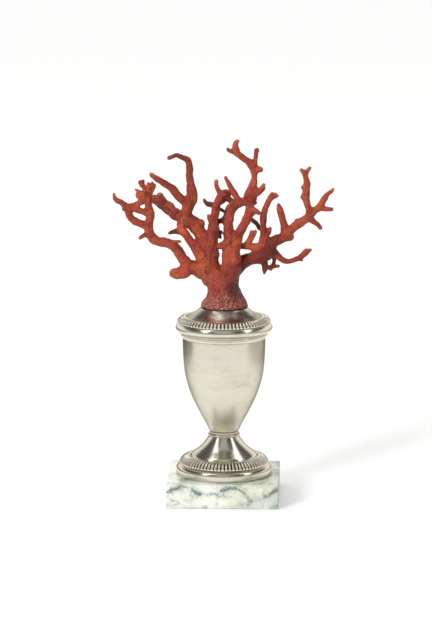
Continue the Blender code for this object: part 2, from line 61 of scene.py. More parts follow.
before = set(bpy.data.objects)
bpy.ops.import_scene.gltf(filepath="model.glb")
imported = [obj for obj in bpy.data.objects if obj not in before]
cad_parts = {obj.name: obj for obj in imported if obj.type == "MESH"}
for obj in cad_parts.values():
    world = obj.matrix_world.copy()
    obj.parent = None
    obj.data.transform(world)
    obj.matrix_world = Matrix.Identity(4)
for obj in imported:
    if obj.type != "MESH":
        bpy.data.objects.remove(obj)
SOLIDS_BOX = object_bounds()

MM = 0.001
TAU = 2 * np.pi
LID_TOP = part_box("lid")[1].z / MM
CORAL_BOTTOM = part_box("coral_trunk")[0].z / MM
CORAL_NODES = sorted(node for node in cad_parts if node.startswith("coral_"))

# The point that the coral's front view is drawn from
EYE = np.array([70.0, -2066.0, 501.0])

# The coral's stem above the lid: height, middle across, half width, half depth
STEM_RINGS = [
    (-0.25, 0.0, 16.2, 15.9), (0.8, 0.0, 16.3, 16.0), (1.6, 0.0, 16.1, 15.8), (3.6, 0.1, 15.3, 14.9),
    (5.6, 0.5, 14.1, 13.6), (8.0, 0.4, 12.6, 12.2), (11.0, 0.0, 11.6, 11.3), (14.0, -0.7, 11.1, 10.7),
    (17.0, -1.6, 11.6, 10.6), (20.5, -2.5, 12.3, 10.2), (24.0, -3.2, 11.6, 9.2), (27.0, -3.6, 9.0, 7.6),
]

# The coral's branches, each a row of points: across, up from the lid, forward, radius.
# Across and up are read in the front view, on the upright plane through the urn's axis.
BRANCHES = {
    "trunk_left": [
        (-6.2, 19.0, 0, 7.4), (-10.2, 25.0, 0, 7.8), (-11.6, 28.5, 0, 7.5), (-11.8, 31.4, 0, 7.2)],
    "trunk_right": [
        (1.0, 19.0, 0, 7.6), (4.0, 25.0, 1.5, 6.9), (4.8, 28.5, 2.5, 6.4), (4.9, 31.4, 3, 6.1)],
    "trunk_low_left": [
        (-6.5, 20.6, 0, 5.4), (-15.5, 24.9, 0.5, 4.7), (-21.6, 27.3, 1, 4.3)],
    "trunk_low_right": [
        (2.0, 21.0, -1, 7.0), (8.6, 27.7, -3.4, 5.2), (12.9, 31.5, -5.2, 4.2)],
    "back_twig": [
        (3.0, 22.0, -5, 5.0), (4.5, 29.0, -12, 3.5), (5.0, 35.0, -18, 2.6), (5.6, 40.5, -22, 2.0),
        (5.0, 44.5, -25, 1.4)],
    "left_limb": [
        (-11.6, 36.0, 0, 6.8), (-11.4, 40.5, 0, 6.4), (-13.2, 45.5, -0.5, 5.3),
        (-15.9, 50.0, -1.5, 4.6), (-18.4, 54.2, -2.5, 4.5), (-20.8, 57.8, -3.5, 4.5),
        (-23.8, 60.4, -4.5, 4.3), (-27.4, 62.2, -5.5, 4.1), (-31.6, 64.0, -6.5, 3.9),
        (-34.4, 65.6, -7.5, 3.8)],
    "left_lower_limb": [
        (-15.2, 37.0, 2, 4.8), (-17.6, 39.6, 2.5, 3.9), (-20.5, 42.6, 2.5, 3.1), (-23.6, 46.2, 2.5, 2.6),
        (-26.6, 50.2, 2, 2.6), (-29.0, 53.8, 0.5, 2.7), (-29.6, 57.0, -2, 3.1), (-28.0, 60.6, -4, 4.0)],
    "left_limb_right_root": [
        (-9.6, 38.0, 0, 5.0), (-9.0, 44.0, 0, 4.4), (-8.3, 49.0, 0, 3.8), (-7.9, 53.7, 0, 3.4)],
    "left_limb_upper_root": [
        (-26.6, 62.0, -5, 3.6), (-26.2, 66.0, -4.5, 3.4), (-25.2, 69.6, -4, 3.5)],
    "left_limb_stub": [
        (-20.0, 58.0, -3, 3.4), (-16.4, 58.7, -3, 2.5)],
    "left_limb_dark_twig": [
        (-30.5, 53.2, 0, 2.0), (-34.0, 52.9, -2, 1.5), (-36.6, 52.4, -3, 1.2),
        (-38.2, 51.6, -3.5, 0.8)],
    "left_limb_spur": [
        (-7.4, 51.6, -1, 1.3), (-4.2, 49.9, -2, 1.1), (-2.5, 48.9, -3, 0.8)],
    "left_limb_back_twig": [
        (-20.5, 58.5, -5, 3.2), (-21.5, 59.5, -12, 2.2), (-23.0, 61.0, -18, 1.4)],
    "left_stem_back_twig": [
        (-10.5, 37.0, -3, 3.6), (-11.5, 40.0, -10, 2.6), (-12.5, 43.0, -15, 1.7)],
    "far_left_limb": [
        (-38.3, 68.8, -10, 3.8), (-41.8, 71.7, -12, 3.9), (-45.7, 74.2, -13.5, 3.5),
        (-49.5, 75.5, -15, 2.9), (-52.2, 76.1, -16, 2.1)],
    "far_left_limb_knob": [
        (-43.6, 75.5, -13, 2.4), (-44.6, 77.9, -13, 2.0)],
    "left_upright": [
        (-23.6, 73.6, -4, 3.7), (-22.4, 78.4, -4, 3.6), (-22.4, 81.2, -4, 3.3), (-23.0, 84.6, -4, 2.9),
        (-23.8, 88.6, -4, 2.6), (-24.2, 92.6, -3.5, 2.4), (-24.0, 97.0, -3, 2.1),
        (-24.2, 100.4, -2, 1.9), (-25.2, 103.0, -1, 1.8), (-27.6, 104.3, 0.5, 1.6),
        (-30.2, 105.3, 2, 1.4), (-33.2, 106.4, 3, 1.25), (-36.0, 105.4, 4, 1.15),
        (-38.3, 104.5, 5, 1.35)],
    "left_upright_root": [
        (-24.4, 73.4, -4, 2.6), (-27.6, 74.2, -3, 2.7), (-30.2, 76.0, -2, 2.5)],
    "left_slanting_branch": [
        (-33.4, 79.7, 0, 2.5), (-37.5, 83.8, 2, 2.25), (-41.4, 86.5, 4, 2.1), (-44.8, 88.6, 5.5, 2.0),
        (-48.0, 90.6, 7, 1.7), (-50.6, 92.6, 8, 1.3)],
    "low_left_arm": [
        (-25.0, 29.6, 1.5, 3.8), (-28.0, 32.9, 2, 3.4), (-30.7, 37.0, 2.5, 3.5), (-33.6, 40.7, 3, 3.4),
        (-36.8, 43.5, 3.5, 3.0), (-40.5, 44.9, 4, 2.8), (-44.6, 45.4, 4.5, 2.8), (-48.0, 46.6, 5, 2.9),
        (-50.8, 49.4, 5.5, 2.9), (-52.4, 52.6, 5.5, 2.9)],
    "low_left_knob": [
        (-25.7, 27.4, 1.5, 3.3), (-27.8, 25.2, 3, 3.8), (-30.6, 23.6, 4, 3.9), (-33.4, 23.0, 5, 3.4),
        (-35.4, 23.3, 5.5, 2.9)],
    "low_left_thin_twig": [
        (-36.5, 45.0, 4, 1.1), (-33.0, 45.8, 4.5, 0.8), (-30.6, 45.8, 5.5, 0.7)],
    "low_left_lower_twig": [
        (-51.8, 50.2, 5.5, 1.5), (-56.0, 50.0, 6, 1.3), (-58.8, 48.1, 6, 1.0)],
    "outer_left_fan": [
        (-52.6, 56.0, 5.5, 2.8), (-52.2, 59.2, 5.5, 2.6), (-51.5, 63.0, 5.5, 2.6),
        (-51.3, 66.2, 5.5, 2.5), (-52.5, 69.3, 5.5, 2.1), (-52.8, 72.5, 5.5, 2.0),
        (-52.9, 75.4, 5.5, 2.4), (-53.2, 78.2, 5.5, 2.4), (-53.5, 80.2, 5.5, 1.8),
        (-55.0, 82.8, 6, 1.5), (-56.7, 85.3, 6.5, 1.5), (-58.0, 87.3, 7, 1.65)],
    "outer_left_loop": [
        (-53.2, 56.8, 6, 2.3), (-56.8, 57.5, 7, 2.4), (-60.8, 59.2, 8, 2.4), (-64.2, 61.5, 8.5, 2.2),
        (-66.1, 64.3, 9, 2.2), (-66.9, 67.0, 9, 2.3), (-67.6, 69.7, 9, 2.0), (-69.8, 71.5, 9.5, 1.8),
        (-71.9, 73.3, 10, 1.8), (-74.4, 74.4, 10.5, 1.6), (-76.2, 76.4, 11, 1.3),
        (-76.8, 79.0, 11.5, 0.8)],
    "outer_left_upper_link": [
        (-66.9, 69.3, 9, 1.8), (-62.6, 70.6, 8, 1.9), (-59.2, 72.9, 7, 1.7), (-56.2, 75.8, 6, 1.8),
        (-53.8, 77.6, 5.5, 1.8)],
    "outer_left_lower_link": [
        (-64.8, 69.4, 8.5, 1.6), (-61.6, 68.3, 8, 1.7), (-58.3, 67.2, 7, 1.7), (-55.0, 66.2, 6, 1.8),
        (-51.8, 65.4, 5.5, 1.8)],
    "outer_left_spike": [
        (-57.4, 74.4, 6.5, 1.0), (-56.5, 72.4, 6.5, 0.5)],
    "outer_left_stub": [
        (-67.4, 69.0, 9, 1.3), (-70.2, 68.2, 9, 0.8)],
    "star_middle_twig": [
        (-53.0, 79.0, 6, 1.4), (-52.5, 83.5, 7, 1.1), (-52.8, 86.6, 7.5, 0.8)],
    "star_thin_twig": [
        (-52.2, 80.5, 6, 1.0), (-51.0, 86.0, 7, 0.7)],
    "star_right_twig": [
        (-52.8, 78.4, 5, 1.7), (-50.2, 82.5, 4.5, 1.5), (-48.6, 85.0, 4, 1.35)],
    "star_left_twig": [
        (-53.6, 78.0, 5.5, 2.0), (-57.5, 78.3, 6, 1.8), (-60.6, 78.9, 6.5, 1.1)],
    "star_left_spike": [
        (-59.4, 78.8, 6.5, 1.0), (-60.1, 81.3, 6.5, 0.5)],
    "star_left_bump": [
        (-58.4, 78.2, 6.5, 1.3), (-60.5, 77.2, 6.5, 0.9)],
    "star_upper_left_twig": [
        (-55.0, 79.0, 7, 1.3), (-59.2, 80.9, 8, 0.9), (-61.6, 82.2, 8.5, 0.6)],
    "star_fourth_twig": [
        (-52.6, 79.5, 6, 1.3), (-50.8, 83.4, 5.5, 0.9), (-50.0, 87.2, 5, 0.7)],
    "star_lobe": [
        (-57.2, 85.6, 6.8, 1.3), (-56.3, 88.4, 7.5, 0.8)],
    "star_front_twig": [
        (-53.4, 78.5, 7, 1.4), (-54.8, 80.0, 11, 1.0), (-55.4, 81.2, 13.5, 0.7)],
    "centre_left_limb": [
        (-7.8, 58.0, 0, 2.9), (-7.1, 62.4, -0.5, 2.8), (-6.3, 66.8, -1, 2.7), (-5.3, 71.2, -1.5, 2.5),
        (-3.6, 75.4, -2, 2.5), (-1.6, 78.8, -2.5, 2.5), (1.2, 80.0, -3, 2.3), (3.4, 80.2, -3.5, 1.9)],
    "centre_left_stub": [
        (-8.0, 60.0, 0.5, 2.0), (-10.0, 62.6, 1.5, 1.4), (-10.8, 64.2, 2, 1.0)],
    "centre_left_dark_twig": [
        (-6.0, 70.2, -3, 1.8), (-8.8, 71.9, -5, 1.6), (-11.6, 72.4, -7, 1.6), (-13.2, 73.9, -8, 1.1),
        (-13.8, 75.4, -8.5, 0.7)],
    "centre_left_top_twig": [
        (-2.5, 79.2, -2.2, 1.6), (-4.6, 83.2, -2.5, 1.3), (-5.6, 86.0, -2.5, 1.3),
        (-5.5, 88.2, -2.5, 1.3)],
    "centre_left_crossing_twig": [
        (-6.3, 60.4, -2.4, 1.8), (-2.6, 60.4, -4, 1.6), (0.4, 61.2, -4, 2.5), (2.4, 60.4, -2, 2.2)],
    "centre_back_twig": [
        (3.2, 70.4, -1, 1.2), (1.4, 67.0, -2.5, 1.1), (0.7, 63.0, -3.5, 1.3), (1.1, 57.8, -2.5, 1.4)],
    "centre_upper_dark_link": [
        (-3.8, 73.2, -3, 1.8), (-1.0, 75.2, -4.5, 1.9), (1.6, 76.8, -4, 1.9), (4.4, 75.0, -2, 1.6),
        (7.0, 73.0, -0.5, 1.8)],
    "left_limb_dark_edge": [
        (-5.8, 58.6, -2.5, 1.3), (-5.0, 55.0, -3, 1.4), (-4.5, 51.8, -3, 1.2), (-2.8, 49.5, -3, 0.8)],
    "left_limb_barb": [
        (-4.4, 52.0, -3, 0.9), (-2.6, 51.8, -3.5, 0.5), (-1.8, 53.0, -4, 0.4)],
    "centre_left_thin_twig": [
        (-5.2, 69.4, -3, 1.1), (-2.8, 68.7, -4.5, 0.9), (0.8, 66.6, -6, 0.8)],
    "centre_limb": [
        (5.1, 36.0, 4, 5.9), (4.8, 41.0, 4.5, 5.5), (4.2, 46.0, 4.5, 4.5), (3.5, 51.0, 4, 3.5),
        (3.1, 56.5, 3.5, 2.9), (3.4, 61.5, 3, 2.6), (4.2, 66.0, 2.5, 2.8), (5.9, 69.8, 2, 2.8),
        (8.8, 72.4, 1.5, 2.7), (12.0, 73.6, 1, 2.6), (15.2, 74.4, 0.5, 2.3)],
    "centre_second_limb": [
        (6.6, 43.0, 4, 4.2), (8.2, 47.8, 3.5, 3.7), (10.5, 52.3, 3, 3.1), (13.2, 56.8, 2.5, 2.9),
        (15.8, 61.8, 2, 2.8), (17.2, 66.8, 1.5, 2.6), (18.0, 71.2, 1, 2.7), (18.0, 74.6, 0.5, 3.8),
        (18.2, 77.0, 0, 4.2)],
    "centre_slanting_twig": [
        (10.8, 73.6, 1.5, 2.0), (8.3, 77.5, 2, 1.9), (6.5, 80.6, 2, 1.9), (4.7, 84.0, 2.5, 1.7),
        (3.2, 87.0, 3, 1.3), (1.7, 89.6, 3.5, 1.15), (1.1, 91.0, 4, 1.05)],
    "centre_left_lump": [
        (2.5, 43.8, 6, 2.6), (-1.2, 43.2, 7, 2.3), (-3.0, 42.8, 7.5, 2.0)],
    "centre_front_stub": [
        (2.6, 44.4, 7, 1.7), (2.4, 45.0, 10.3, 1.3)],
    "centre_spur": [
        (2.4, 52.2, 2, 1.3), (-0.4, 51.6, 0.5, 0.9)],
    "centre_dark_ball": [
        (18.2, 73.0, 0, 1.6), (21.4, 73.4, -2.5, 1.3)],
    "centre_right_link": [
        (18.0, 69.4, 2, 1.7), (21.0, 68.3, 2.5, 1.5), (23.4, 66.7, 2, 1.3), (24.3, 65.9, 1.5, 1.2)],
    "centre_right_spur": [
        (18.0, 67.9, 1.1, 1.4), (20.2, 64.9, 1.5, 0.9)],
    "centre_right_dark_link": [
        (17.0, 63.0, 0, 1.7), (20.7, 60.3, -4, 1.4), (23.3, 57.7, -7, 1.3), (24.6, 55.2, -8.5, 1.1)],
    "crown": [
        (18.9, 80.4, -0.5, 3.8), (19.6, 83.8, -1, 3.0), (20.4, 87.2, -1.5, 2.4), (20.9, 90.4, -2, 2.0),
        (20.9, 93.4, -2, 2.0), (20.5, 96.4, -2, 2.4), (19.3, 99.4, -2, 2.6), (17.1, 101.8, -1.5, 2.2),
        (14.2, 103.8, -1, 1.9), (11.4, 105.8, -0.5, 1.8), (9.0, 107.9, 0, 2.0), (8.0, 110.6, 0.5, 2.1),
        (7.8, 113.6, 1, 1.9), (8.5, 115.6, 1.5, 1.4), (9.6, 116.5, 2, 1.0)],
    "crown_left_twig": [
        (8.0, 109.0, 0, 1.6), (5.0, 109.3, 0.5, 1.2), (3.2, 109.9, 1, 0.9), (2.4, 111.0, 1, 0.6)],
    "crown_right_prong": [
        (20.9, 98.4, -2, 1.7), (21.5, 102.6, -2.5, 1.2), (22.0, 106.5, -3, 1.2),
        (22.5, 110.2, -3.5, 1.6)],
    "crown_right_stub": [
        (21.6, 96.1, -2, 2.0), (24.2, 96.6, -2, 1.8), (25.4, 96.5, -2, 1.6)],
    "crown_lower_twig": [
        (20.5, 79.9, 0, 2.5), (23.6, 81.2, 0, 2.1), (25.6, 83.1, 0.5, 1.5), (27.6, 86.0, 1, 1.0)],
    "crown_lower_second_twig": [
        (24.6, 81.5, 0, 1.5), (26.9, 82.9, -0.5, 1.0), (27.9, 83.8, -0.5, 0.7)],
    "right_limb": [
        (16.6, 33.5, -4.6, 4.2), (20.2, 34.4, -3.4, 4.4), (24.0, 35.6, -2, 5.0), (27.8, 37.6, -1, 5.3),
        (30.4, 40.2, -0.5, 5.0), (32.4, 43.6, 0.5, 4.3), (34.8, 46.2, 1, 3.7), (37.4, 47.6, 1.5, 3.3),
        (40.0, 48.7, 2, 3.1)],
    "right_limb_upper_edge": [
        (10.0, 43.0, -5, 1.7), (14.0, 42.8, -3, 1.9), (18.0, 42.4, -1.5, 2.1), (22.0, 41.7, -1, 2.8),
        (26.0, 42.0, -0.5, 3.3), (29.6, 43.0, 0, 3.4)],
    "right_limb_upright_root": [
        (28.2, 42.0, -0.5, 3.6), (27.9, 48.6, -1.5, 2.7)],
    "right_limb_low_root": [
        (30.0, 38.4, -1, 3.6), (35.0, 38.3, -1.5, 2.4)],
    "right_limb_prong": [
        (15.4, 43.0, -1.5, 1.8), (17.0, 45.7, 0, 1.8), (18.0, 48.6, 0.5, 1.2), (18.8, 51.2, 1, 1.0),
        (19.2, 53.2, 1.5, 0.9)],
    "right_limb_second_prong": [
        (17.0, 45.3, 0, 1.5), (19.7, 48.9, 0, 1.1), (21.1, 51.6, 0, 1.0), (21.8, 53.4, 0, 0.9)],
    "right_limb_down_twig": [
        (27.2, 33.5, -3, 2.4), (28.5, 29.2, -3, 1.8), (28.3, 25.9, -3, 1.3), (28.1, 23.7, -3, 0.7)],
    "right_limb_ring": [
        (31.6, 37.0, -3.6, 2.0), (34.8, 35.2, -6, 1.3), (34.7, 31.2, -6, 1.15), (33.2, 28.2, -5.5, 1.2),
        (30.8, 27.8, -4, 1.2), (28.4, 28.6, -3, 1.2)],
    "right_limb_ring_twig": [
        (33.0, 28.0, -5.5, 1.0), (36.2, 28.5, -5.5, 0.8), (38.0, 28.9, -5.5, 0.8)],
    "right_limb_ring_bump": [
        (32.0, 28.0, -5, 1.1), (32.6, 26.4, -5, 0.9)],
    "low_right_branch": [
        (37.8, 35.8, -2, 2.2), (40.5, 33.5, -2, 1.9), (44.0, 32.2, -2, 1.7), (48.4, 33.1, -1.5, 1.5),
        (51.8, 34.6, -1, 1.55), (54.6, 36.5, -0.5, 1.6), (56.9, 38.4, 0, 1.9), (58.6, 39.6, 0, 1.5),
        (60.4, 40.5, 0, 0.7)],
    "low_right_second_tip": [
        (56.6, 38.6, 0, 1.5), (57.1, 40.6, 0.5, 0.8)],
    "low_right_nub": [
        (53.0, 35.2, -1, 1.1), (53.9, 33.1, -1, 0.8)],
    "right_upright": [
        (27.7, 51.6, -2, 2.3), (27.3, 55.9, -2, 2.0), (27.3, 60.3, -2, 2.0), (27.5, 64.6, -2.5, 2.2),
        (28.3, 67.7, -2.5, 1.9), (29.4, 71.2, -3, 1.7), (31.0, 75.0, -3, 1.6), (32.5, 77.8, -3, 1.7),
        (33.4, 79.8, -3, 1.0)],
    "right_upright_stub": [
        (29.0, 50.9, -2, 1.7), (31.2, 52.8, -2, 1.4), (32.0, 55.4, -2, 1.1)],
    "right_upright_twig": [
        (32.6, 77.2, -3, 1.3), (35.8, 79.8, -3, 0.6)],
    "right_upright_second_twig": [
        (32.8, 76.9, -3, 1.3), (35.8, 77.8, -3, 1.0), (37.2, 78.3, -3, 0.8)],
    "right_arm": [
        (43.0, 50.6, 2.5, 3.4), (45.8, 53.2, 3, 3.0), (48.5, 55.9, 3.5, 2.8), (51.6, 58.6, 4, 2.9),
        (54.8, 60.9, 4.5, 2.6)],
    "right_finger": [
        (42.6, 51.4, 2.5, 2.8), (42.3, 54.5, 2.5, 2.4), (41.7, 58.0, 2.5, 2.3), (40.6, 62.0, 2, 2.2),
        (39.4, 66.0, 1.5, 2.1), (38.5, 69.5, 1, 1.7), (37.8, 72.0, 0.5, 1.1)],
    "right_arm_knob": [
        (43.6, 50.0, 2, 2.6), (46.2, 49.3, 2, 2.2)],
    "right_arm_bump": [
        (50.8, 58.6, 4, 2.4), (50.5, 60.8, 4, 1.4)],
    "right_crown": [
        (57.6, 63.0, 5, 2.8), (59.2, 65.6, 5, 2.7), (58.9, 69.2, 5, 2.1), (57.8, 72.5, 5, 2.0),
        (56.9, 75.7, 5, 2.2), (56.7, 78.6, 5, 2.2), (56.8, 81.5, 5, 2.1), (57.4, 84.4, 5, 2.2),
        (57.6, 87.3, 5, 2.2), (57.0, 90.2, 5, 1.8), (56.2, 92.8, 5, 1.7), (55.0, 95.0, 5.5, 1.4),
        (53.4, 96.5, 6, 1.0)],
    "right_crown_tip": [
        (56.2, 93.4, 5, 1.4), (57.9, 96.0, 5, 1.1), (59.3, 97.8, 5, 1.0)],
    "right_crown_nub": [
        (56.4, 83.4, 5.5, 1.4), (54.3, 84.4, 6.5, 0.9)],
    "right_crown_bump": [
        (56.2, 77.3, 5.5, 2.0), (54.7, 77.3, 6, 1.5)],
    "right_crown_branch": [
        (59.4, 65.4, 5, 2.4), (62.9, 68.2, 5.5, 2.3), (66.2, 70.4, 6, 2.4), (68.2, 74.0, 6.5, 2.0),
        (70.2, 77.4, 7, 1.7), (72.0, 79.8, 7, 1.3), (74.4, 81.4, 7.5, 1.1), (75.9, 83.3, 8, 0.6)],
    "right_crown_level_twig": [
        (65.6, 70.0, 6, 1.7), (69.6, 69.3, 6, 1.35), (72.5, 69.1, 6, 1.3), (74.8, 69.1, 6, 1.25)],
    "right_crown_lower_twig": [
        (59.0, 63.4, 5, 2.0), (62.3, 60.1, 5, 1.5), (65.5, 57.8, 5, 1.3), (67.2, 55.8, 5, 1.2)],
}

# The branch that goes on from another one's end, and the one whose end it is
GOES_ON_FROM = {
    "left_limb": "trunk_left",
    "centre_limb": "trunk_right",
    "low_left_arm": "trunk_low_left",
    "right_limb": "trunk_low_right",
    "far_left_limb": "left_limb",
    "left_upright": "left_limb_upper_root",
    "left_slanting_branch": "left_upright_root",
    "centre_left_limb": "left_limb_right_root",
    "outer_left_fan": "low_left_arm",
    "crown": "centre_second_limb",
    "right_upright": "right_limb_upright_root",
    "low_right_branch": "right_limb_low_root",
    "right_arm": "right_limb",
    "right_crown": "right_arm",
}

# Painted shade on the branches that lie at the back or under the light: how dark each is drawn, as a share
# of the darkest
SHADED_BRANCHES = {
    "back_twig": 1.0, "left_limb_dark_twig": 1.0, "centre_left_dark_twig": 1.0, "centre_dark_ball": 1.0,
    "centre_left_crossing_twig": 1.0, "centre_back_twig": 1.0, "centre_upper_dark_link": 1.0,
    "left_limb_dark_edge": 0.9, "left_limb_barb": 0.9, "centre_spur": 0.9, "centre_right_dark_link": 0.9,
    "trunk_low_right": 0.9, "right_limb_down_twig": 0.9, "right_limb_ring_bump": 0.9,
    "left_limb_spur": 0.8, "left_stem_back_twig": 0.8, "right_limb_ring_twig": 0.8,
    "right_limb_low_root": 0.8, "right_limb_ring": 0.75, "right_limb": 0.75, "centre_left_thin_twig": 0.7,
    "left_limb_back_twig": 0.6, "right_crown_lower_twig": 0.5, "crown_left_twig": 0.5,
    "low_left_lower_twig": 0.4, "trunk_right": 0.35, "far_left_limb": 0.3, "left_upright": 0.3,
    "low_right_branch": 0.3, "left_upright_root": 0.3, "star_lobe": 0.3, "right_upright": 0.25,
    "centre_left_limb": 0.25, "right_crown": 0.25, "right_crown_branch": 0.25, "left_limb": 0.2,
    "trunk_left": 0.2, "right_arm": 0.2, "right_finger": 0.15, "outer_left_fan": 0.15, "crown": 0.1,
    "low_left_arm": 0.1,
}

# Turned profiles, from the axis below to the axis above: radius, height, length of the rounding
FOOT_PROFILE = [
    (33.6, 17.25, 0.3), (33.9, 17.6, 0.4), (33.9, 21.6, 0.8), (33.1, 23.0, 0.9), (31.6, 23.7, 0.5),
    (31.0, 24.0, 0.3), (30.4, 24.6, 0.4), (29.4, 25.0, 0.5), (24.8, 29.0, 0.6), (24.0, 29.5, 0.4),
    (23.7, 30.3, 0.5), (23.0, 31.2, 0.8), (20.4, 33.2, 9.0), (17.6, 35.3, 9.0), (14.9, 38.0, 9.0),
    (12.7, 40.9, 9.0), (11.3, 43.1, 9.0), (10.7, 44.2, 0.3),
]
COLLAR_PROFILE = [
    (10.5, 44.2, 0.2), (11.2, 44.6, 0.6), (11.3, 45.4, 0.6), (10.4, 45.9, 0.4), (9.7, 46.3, 0.3),
    (9.7, 47.0, 0.2), (10.2, 47.5, 0.2),
]
BOWL_PROFILE = [
    (9.9, 47.6, 0.1), (10.4, 47.9, 0.3), (11.7, 50.7, 9.0), (13.3, 54.0, 9.0), (16.9, 60.5, 9.0),
    (21.0, 68.5, 9.0), (23.8, 75.2, 9.0), (26.1, 82.3, 9.0), (27.6, 89.0, 9.0), (28.5, 97.0, 9.0),
    (28.95, 106.0, 9.0), (29.05, 114.3, 0.2),
]
RIM_PROFILE = [
    (29.1, 114.3, 0.2), (29.5, 114.9, 0.5), (29.9, 116.0, 0.4), (30.6, 116.5, 0.5), (30.7, 117.3, 0.5),
    (30.1, 117.8, 0.3), (30.4, 118.5, 0.4), (32.4, 119.2, 0.8), (33.7, 120.3, 0.9), (34.1, 121.7, 1.0),
    (33.7, 123.3, 0.9), (32.4, 124.8, 0.6), (31.6, 125.1, 0.3),
]
LID_PROFILE = [
    (31.4, 125.0, 0.1), (31.3, 125.4, 0.2), (28.2, 127.0, 0.4), (27.5, 127.6, 0.3), (27.0, 128.3, 0.5),
    (26.1, 128.9, 0.8), (23.0, 130.5, 9.0), (20.6, 132.2, 9.0), (18.6, 133.7, 9.0), (17.3, 134.8, 9.0),
    (16.7, 135.6, 0.3),
]

# The gadrooned borders' sections, once round: radius, height, share of the relief
FOOT_BORDER = [
    (30.8, 24.9, 0.0), (31.1, 25.4, 0.5), (30.6, 26.5, 1.0), (29.4, 27.8, 1.0), (28.0, 28.8, 1.0),
    (26.6, 29.5, 0.7), (25.4, 29.9, 0.2), (24.6, 29.9, 0.0), (24.4, 29.5, 0.0), (27.5, 26.2, 0.0),
]
LID_BORDER = [
    (32.1, 125.4, 0.0), (32.4, 125.8, 0.5), (32.0, 126.7, 1.0), (31.0, 127.7, 1.0), (29.9, 128.4, 1.0),
    (28.8, 128.9, 0.6), (27.8, 129.2, 0.15), (27.1, 129.1, 0.0), (26.9, 128.7, 0.0), (29.2, 126.2, 0.0),
]

# How the branches are made, in millimetres: the gap between points of a centre line, the least radius
# of a twig, and what each branch gains all round, because growing them together trims them
LINE_GAP = 0.6
THINNEST_TWIG = 0.65
SKIN = 0.4

# Points round a limb, a twig and the stem, the radius that makes a branch a limb, and the rings of a
# branch's half-round end, by their angle from its widest ring
LIMB_SIDES, TWIG_SIDES, STEM_SIDES = 20, 14, 72
LIMB_RADIUS = 3.0
END_RINGS = np.radians([18, 36, 54, 72])

# The crust round the coral's foot: its height, how far its edge wanders and how softly it ends
CRUST_HEIGHT, CRUST_WANDER, CRUST_FADE = 9.5, 1.5, 5.0
GAP_OVER_LID = 0.05

# Colours of the small marks on the coral
CRIMSON = (0.25, 0.032, 0.036)
BRIGHT_FLECK = (0.50, 0.14, 0.07)
# Painted shade: the dark red drawn in the hollows between branches
HOLLOW_SHADE_RED = (0.045, 0.005, 0.004)
# Painted shade: the dark red drawn on the branches and the stem side that lie in shade
SHADE_RED = (0.040, 0.005, 0.003)
CRUST_PIT = (0.11, 0.022, 0.015)
CRUST_CHIP = (0.62, 0.40, 0.33)
DUST = (0.46, 0.17, 0.12)

# Colours in the silver: its specks, the lid's grey stain, and the tints of reflections near an edge
SILVER_SPECK = (0.25, 0.2, 0.13)
GREY_STAIN = (0.17, 0.155, 0.14)
BRIGHT_EDGE = (0.9, 0.88, 0.82, 1.0)
# Painted shade: these two darker tints dim the reflections at the edges of the lid, the bowl and the collar
LID_EDGE_SHADE = (0.62, 0.6, 0.55, 1.0)
DARK_EDGE_SHADE = (0.38, 0.36, 0.33, 1.0)

# Colours in the marble
GREEN_CLOUD = (0.36, 0.39, 0.34)
YELLOW_CLOUD = (0.66, 0.64, 0.42)
VEIN_HALO = (0.27, 0.33, 0.28)
VEIN_SHADOW = (0.15, 0.19, 0.16)

# The studio, in metres: the breadth of each distant light and the way it shines, the ends of the cards
# and of the strips as seen from above, and the camera's place and the way it looks
FLOOR_SIDE = 30.0
FLOOR_CLOUD = (0.54, 0.54, 0.54)
KEY = (0.26, (0.50, 0.745, -0.44))
FILL = (2.5, (0.56, 0.06, -0.83))
CARD_HEIGHT = 0.12
CARD_GREYS = (0.28, 0.27, 0.24), (0.34, 0.33, 0.29)
CARDS = {
    "left_card": ((-0.44, 0.02), (-0.03, 0.85)),
    "right_card": ((0.44, -0.16), (0.03, 0.85)),
}
STRIPS = {
    "left_strip": ((-2.8, -2.7), (-0.1, 0.8)),
    "right_strip": ((3.9, -2.4), (0.65, 0.7)),
}
ROOM_COLOUR = (1.0, 0.99, 0.97, 1.0)
CAMERA_PLACE = (0.0701, -2.0656, 0.5011)
CAMERA_WAY = (-0.03607, 0.98353, -0.17708)
SENSOR_WIDTH = 36.0


# Shapes: whole arrays of points, in millimetres


def unit(vectors):
    """Vectors divided by their own lengths."""
    return vectors / np.linalg.norm(vectors, axis=-1, keepdims=True)


def lattice_noise(points, spacing, seed):
    """Smooth noise from -1 to 1: random numbers on a cubic lattice, blended by t * t * (3 - 2t)."""
    side = 64
    lattice = np.random.default_rng(seed).uniform(-1, 1, (side, side, side))
    cell = np.floor(points / spacing).astype(int)
    part = points / spacing - cell
    part = part * part * (3 - 2 * part)
    total = np.zeros(len(points))
    for corner in product((0, 1), repeat=3):
        share = np.prod(np.where(corner, part, 1 - part), axis=1)
        total += share * lattice[tuple(((cell + corner) % side).T)]
    return total


def ring_grid(grid, first_pole=None, last_pole=None, wrap=False):
    """Vertices and faces of a grid of points whose columns run round in rings.

    The first and the last ring close on a pole, or the rows wrap round like a tyre's.
    """
    rows, columns = grid.shape[:2]
    i, j = np.meshgrid(np.arange(rows if wrap else rows - 1), np.arange(columns), indexing="ij")
    right, below = (j + 1) % columns, (i + 1) % rows
    corners = [i * columns + j, i * columns + right, below * columns + right, below * columns + j]
    faces = np.stack(corners, axis=-1).reshape(-1, 4).tolist()
    vertices = grid.reshape(-1, 3)
    if not wrap:
        around = np.arange(columns)
        onward = (around + 1) % columns
        last = (rows - 1) * columns
        first_fan = [np.full(columns, len(vertices)), onward, around]
        last_fan = [np.full(columns, len(vertices) + 1), last + around, last + onward]
        faces += np.stack(first_fan, axis=-1).tolist() + np.stack(last_fan, axis=-1).tolist()
        vertices = np.vstack([vertices, first_pole, last_pole])
    return vertices, faces


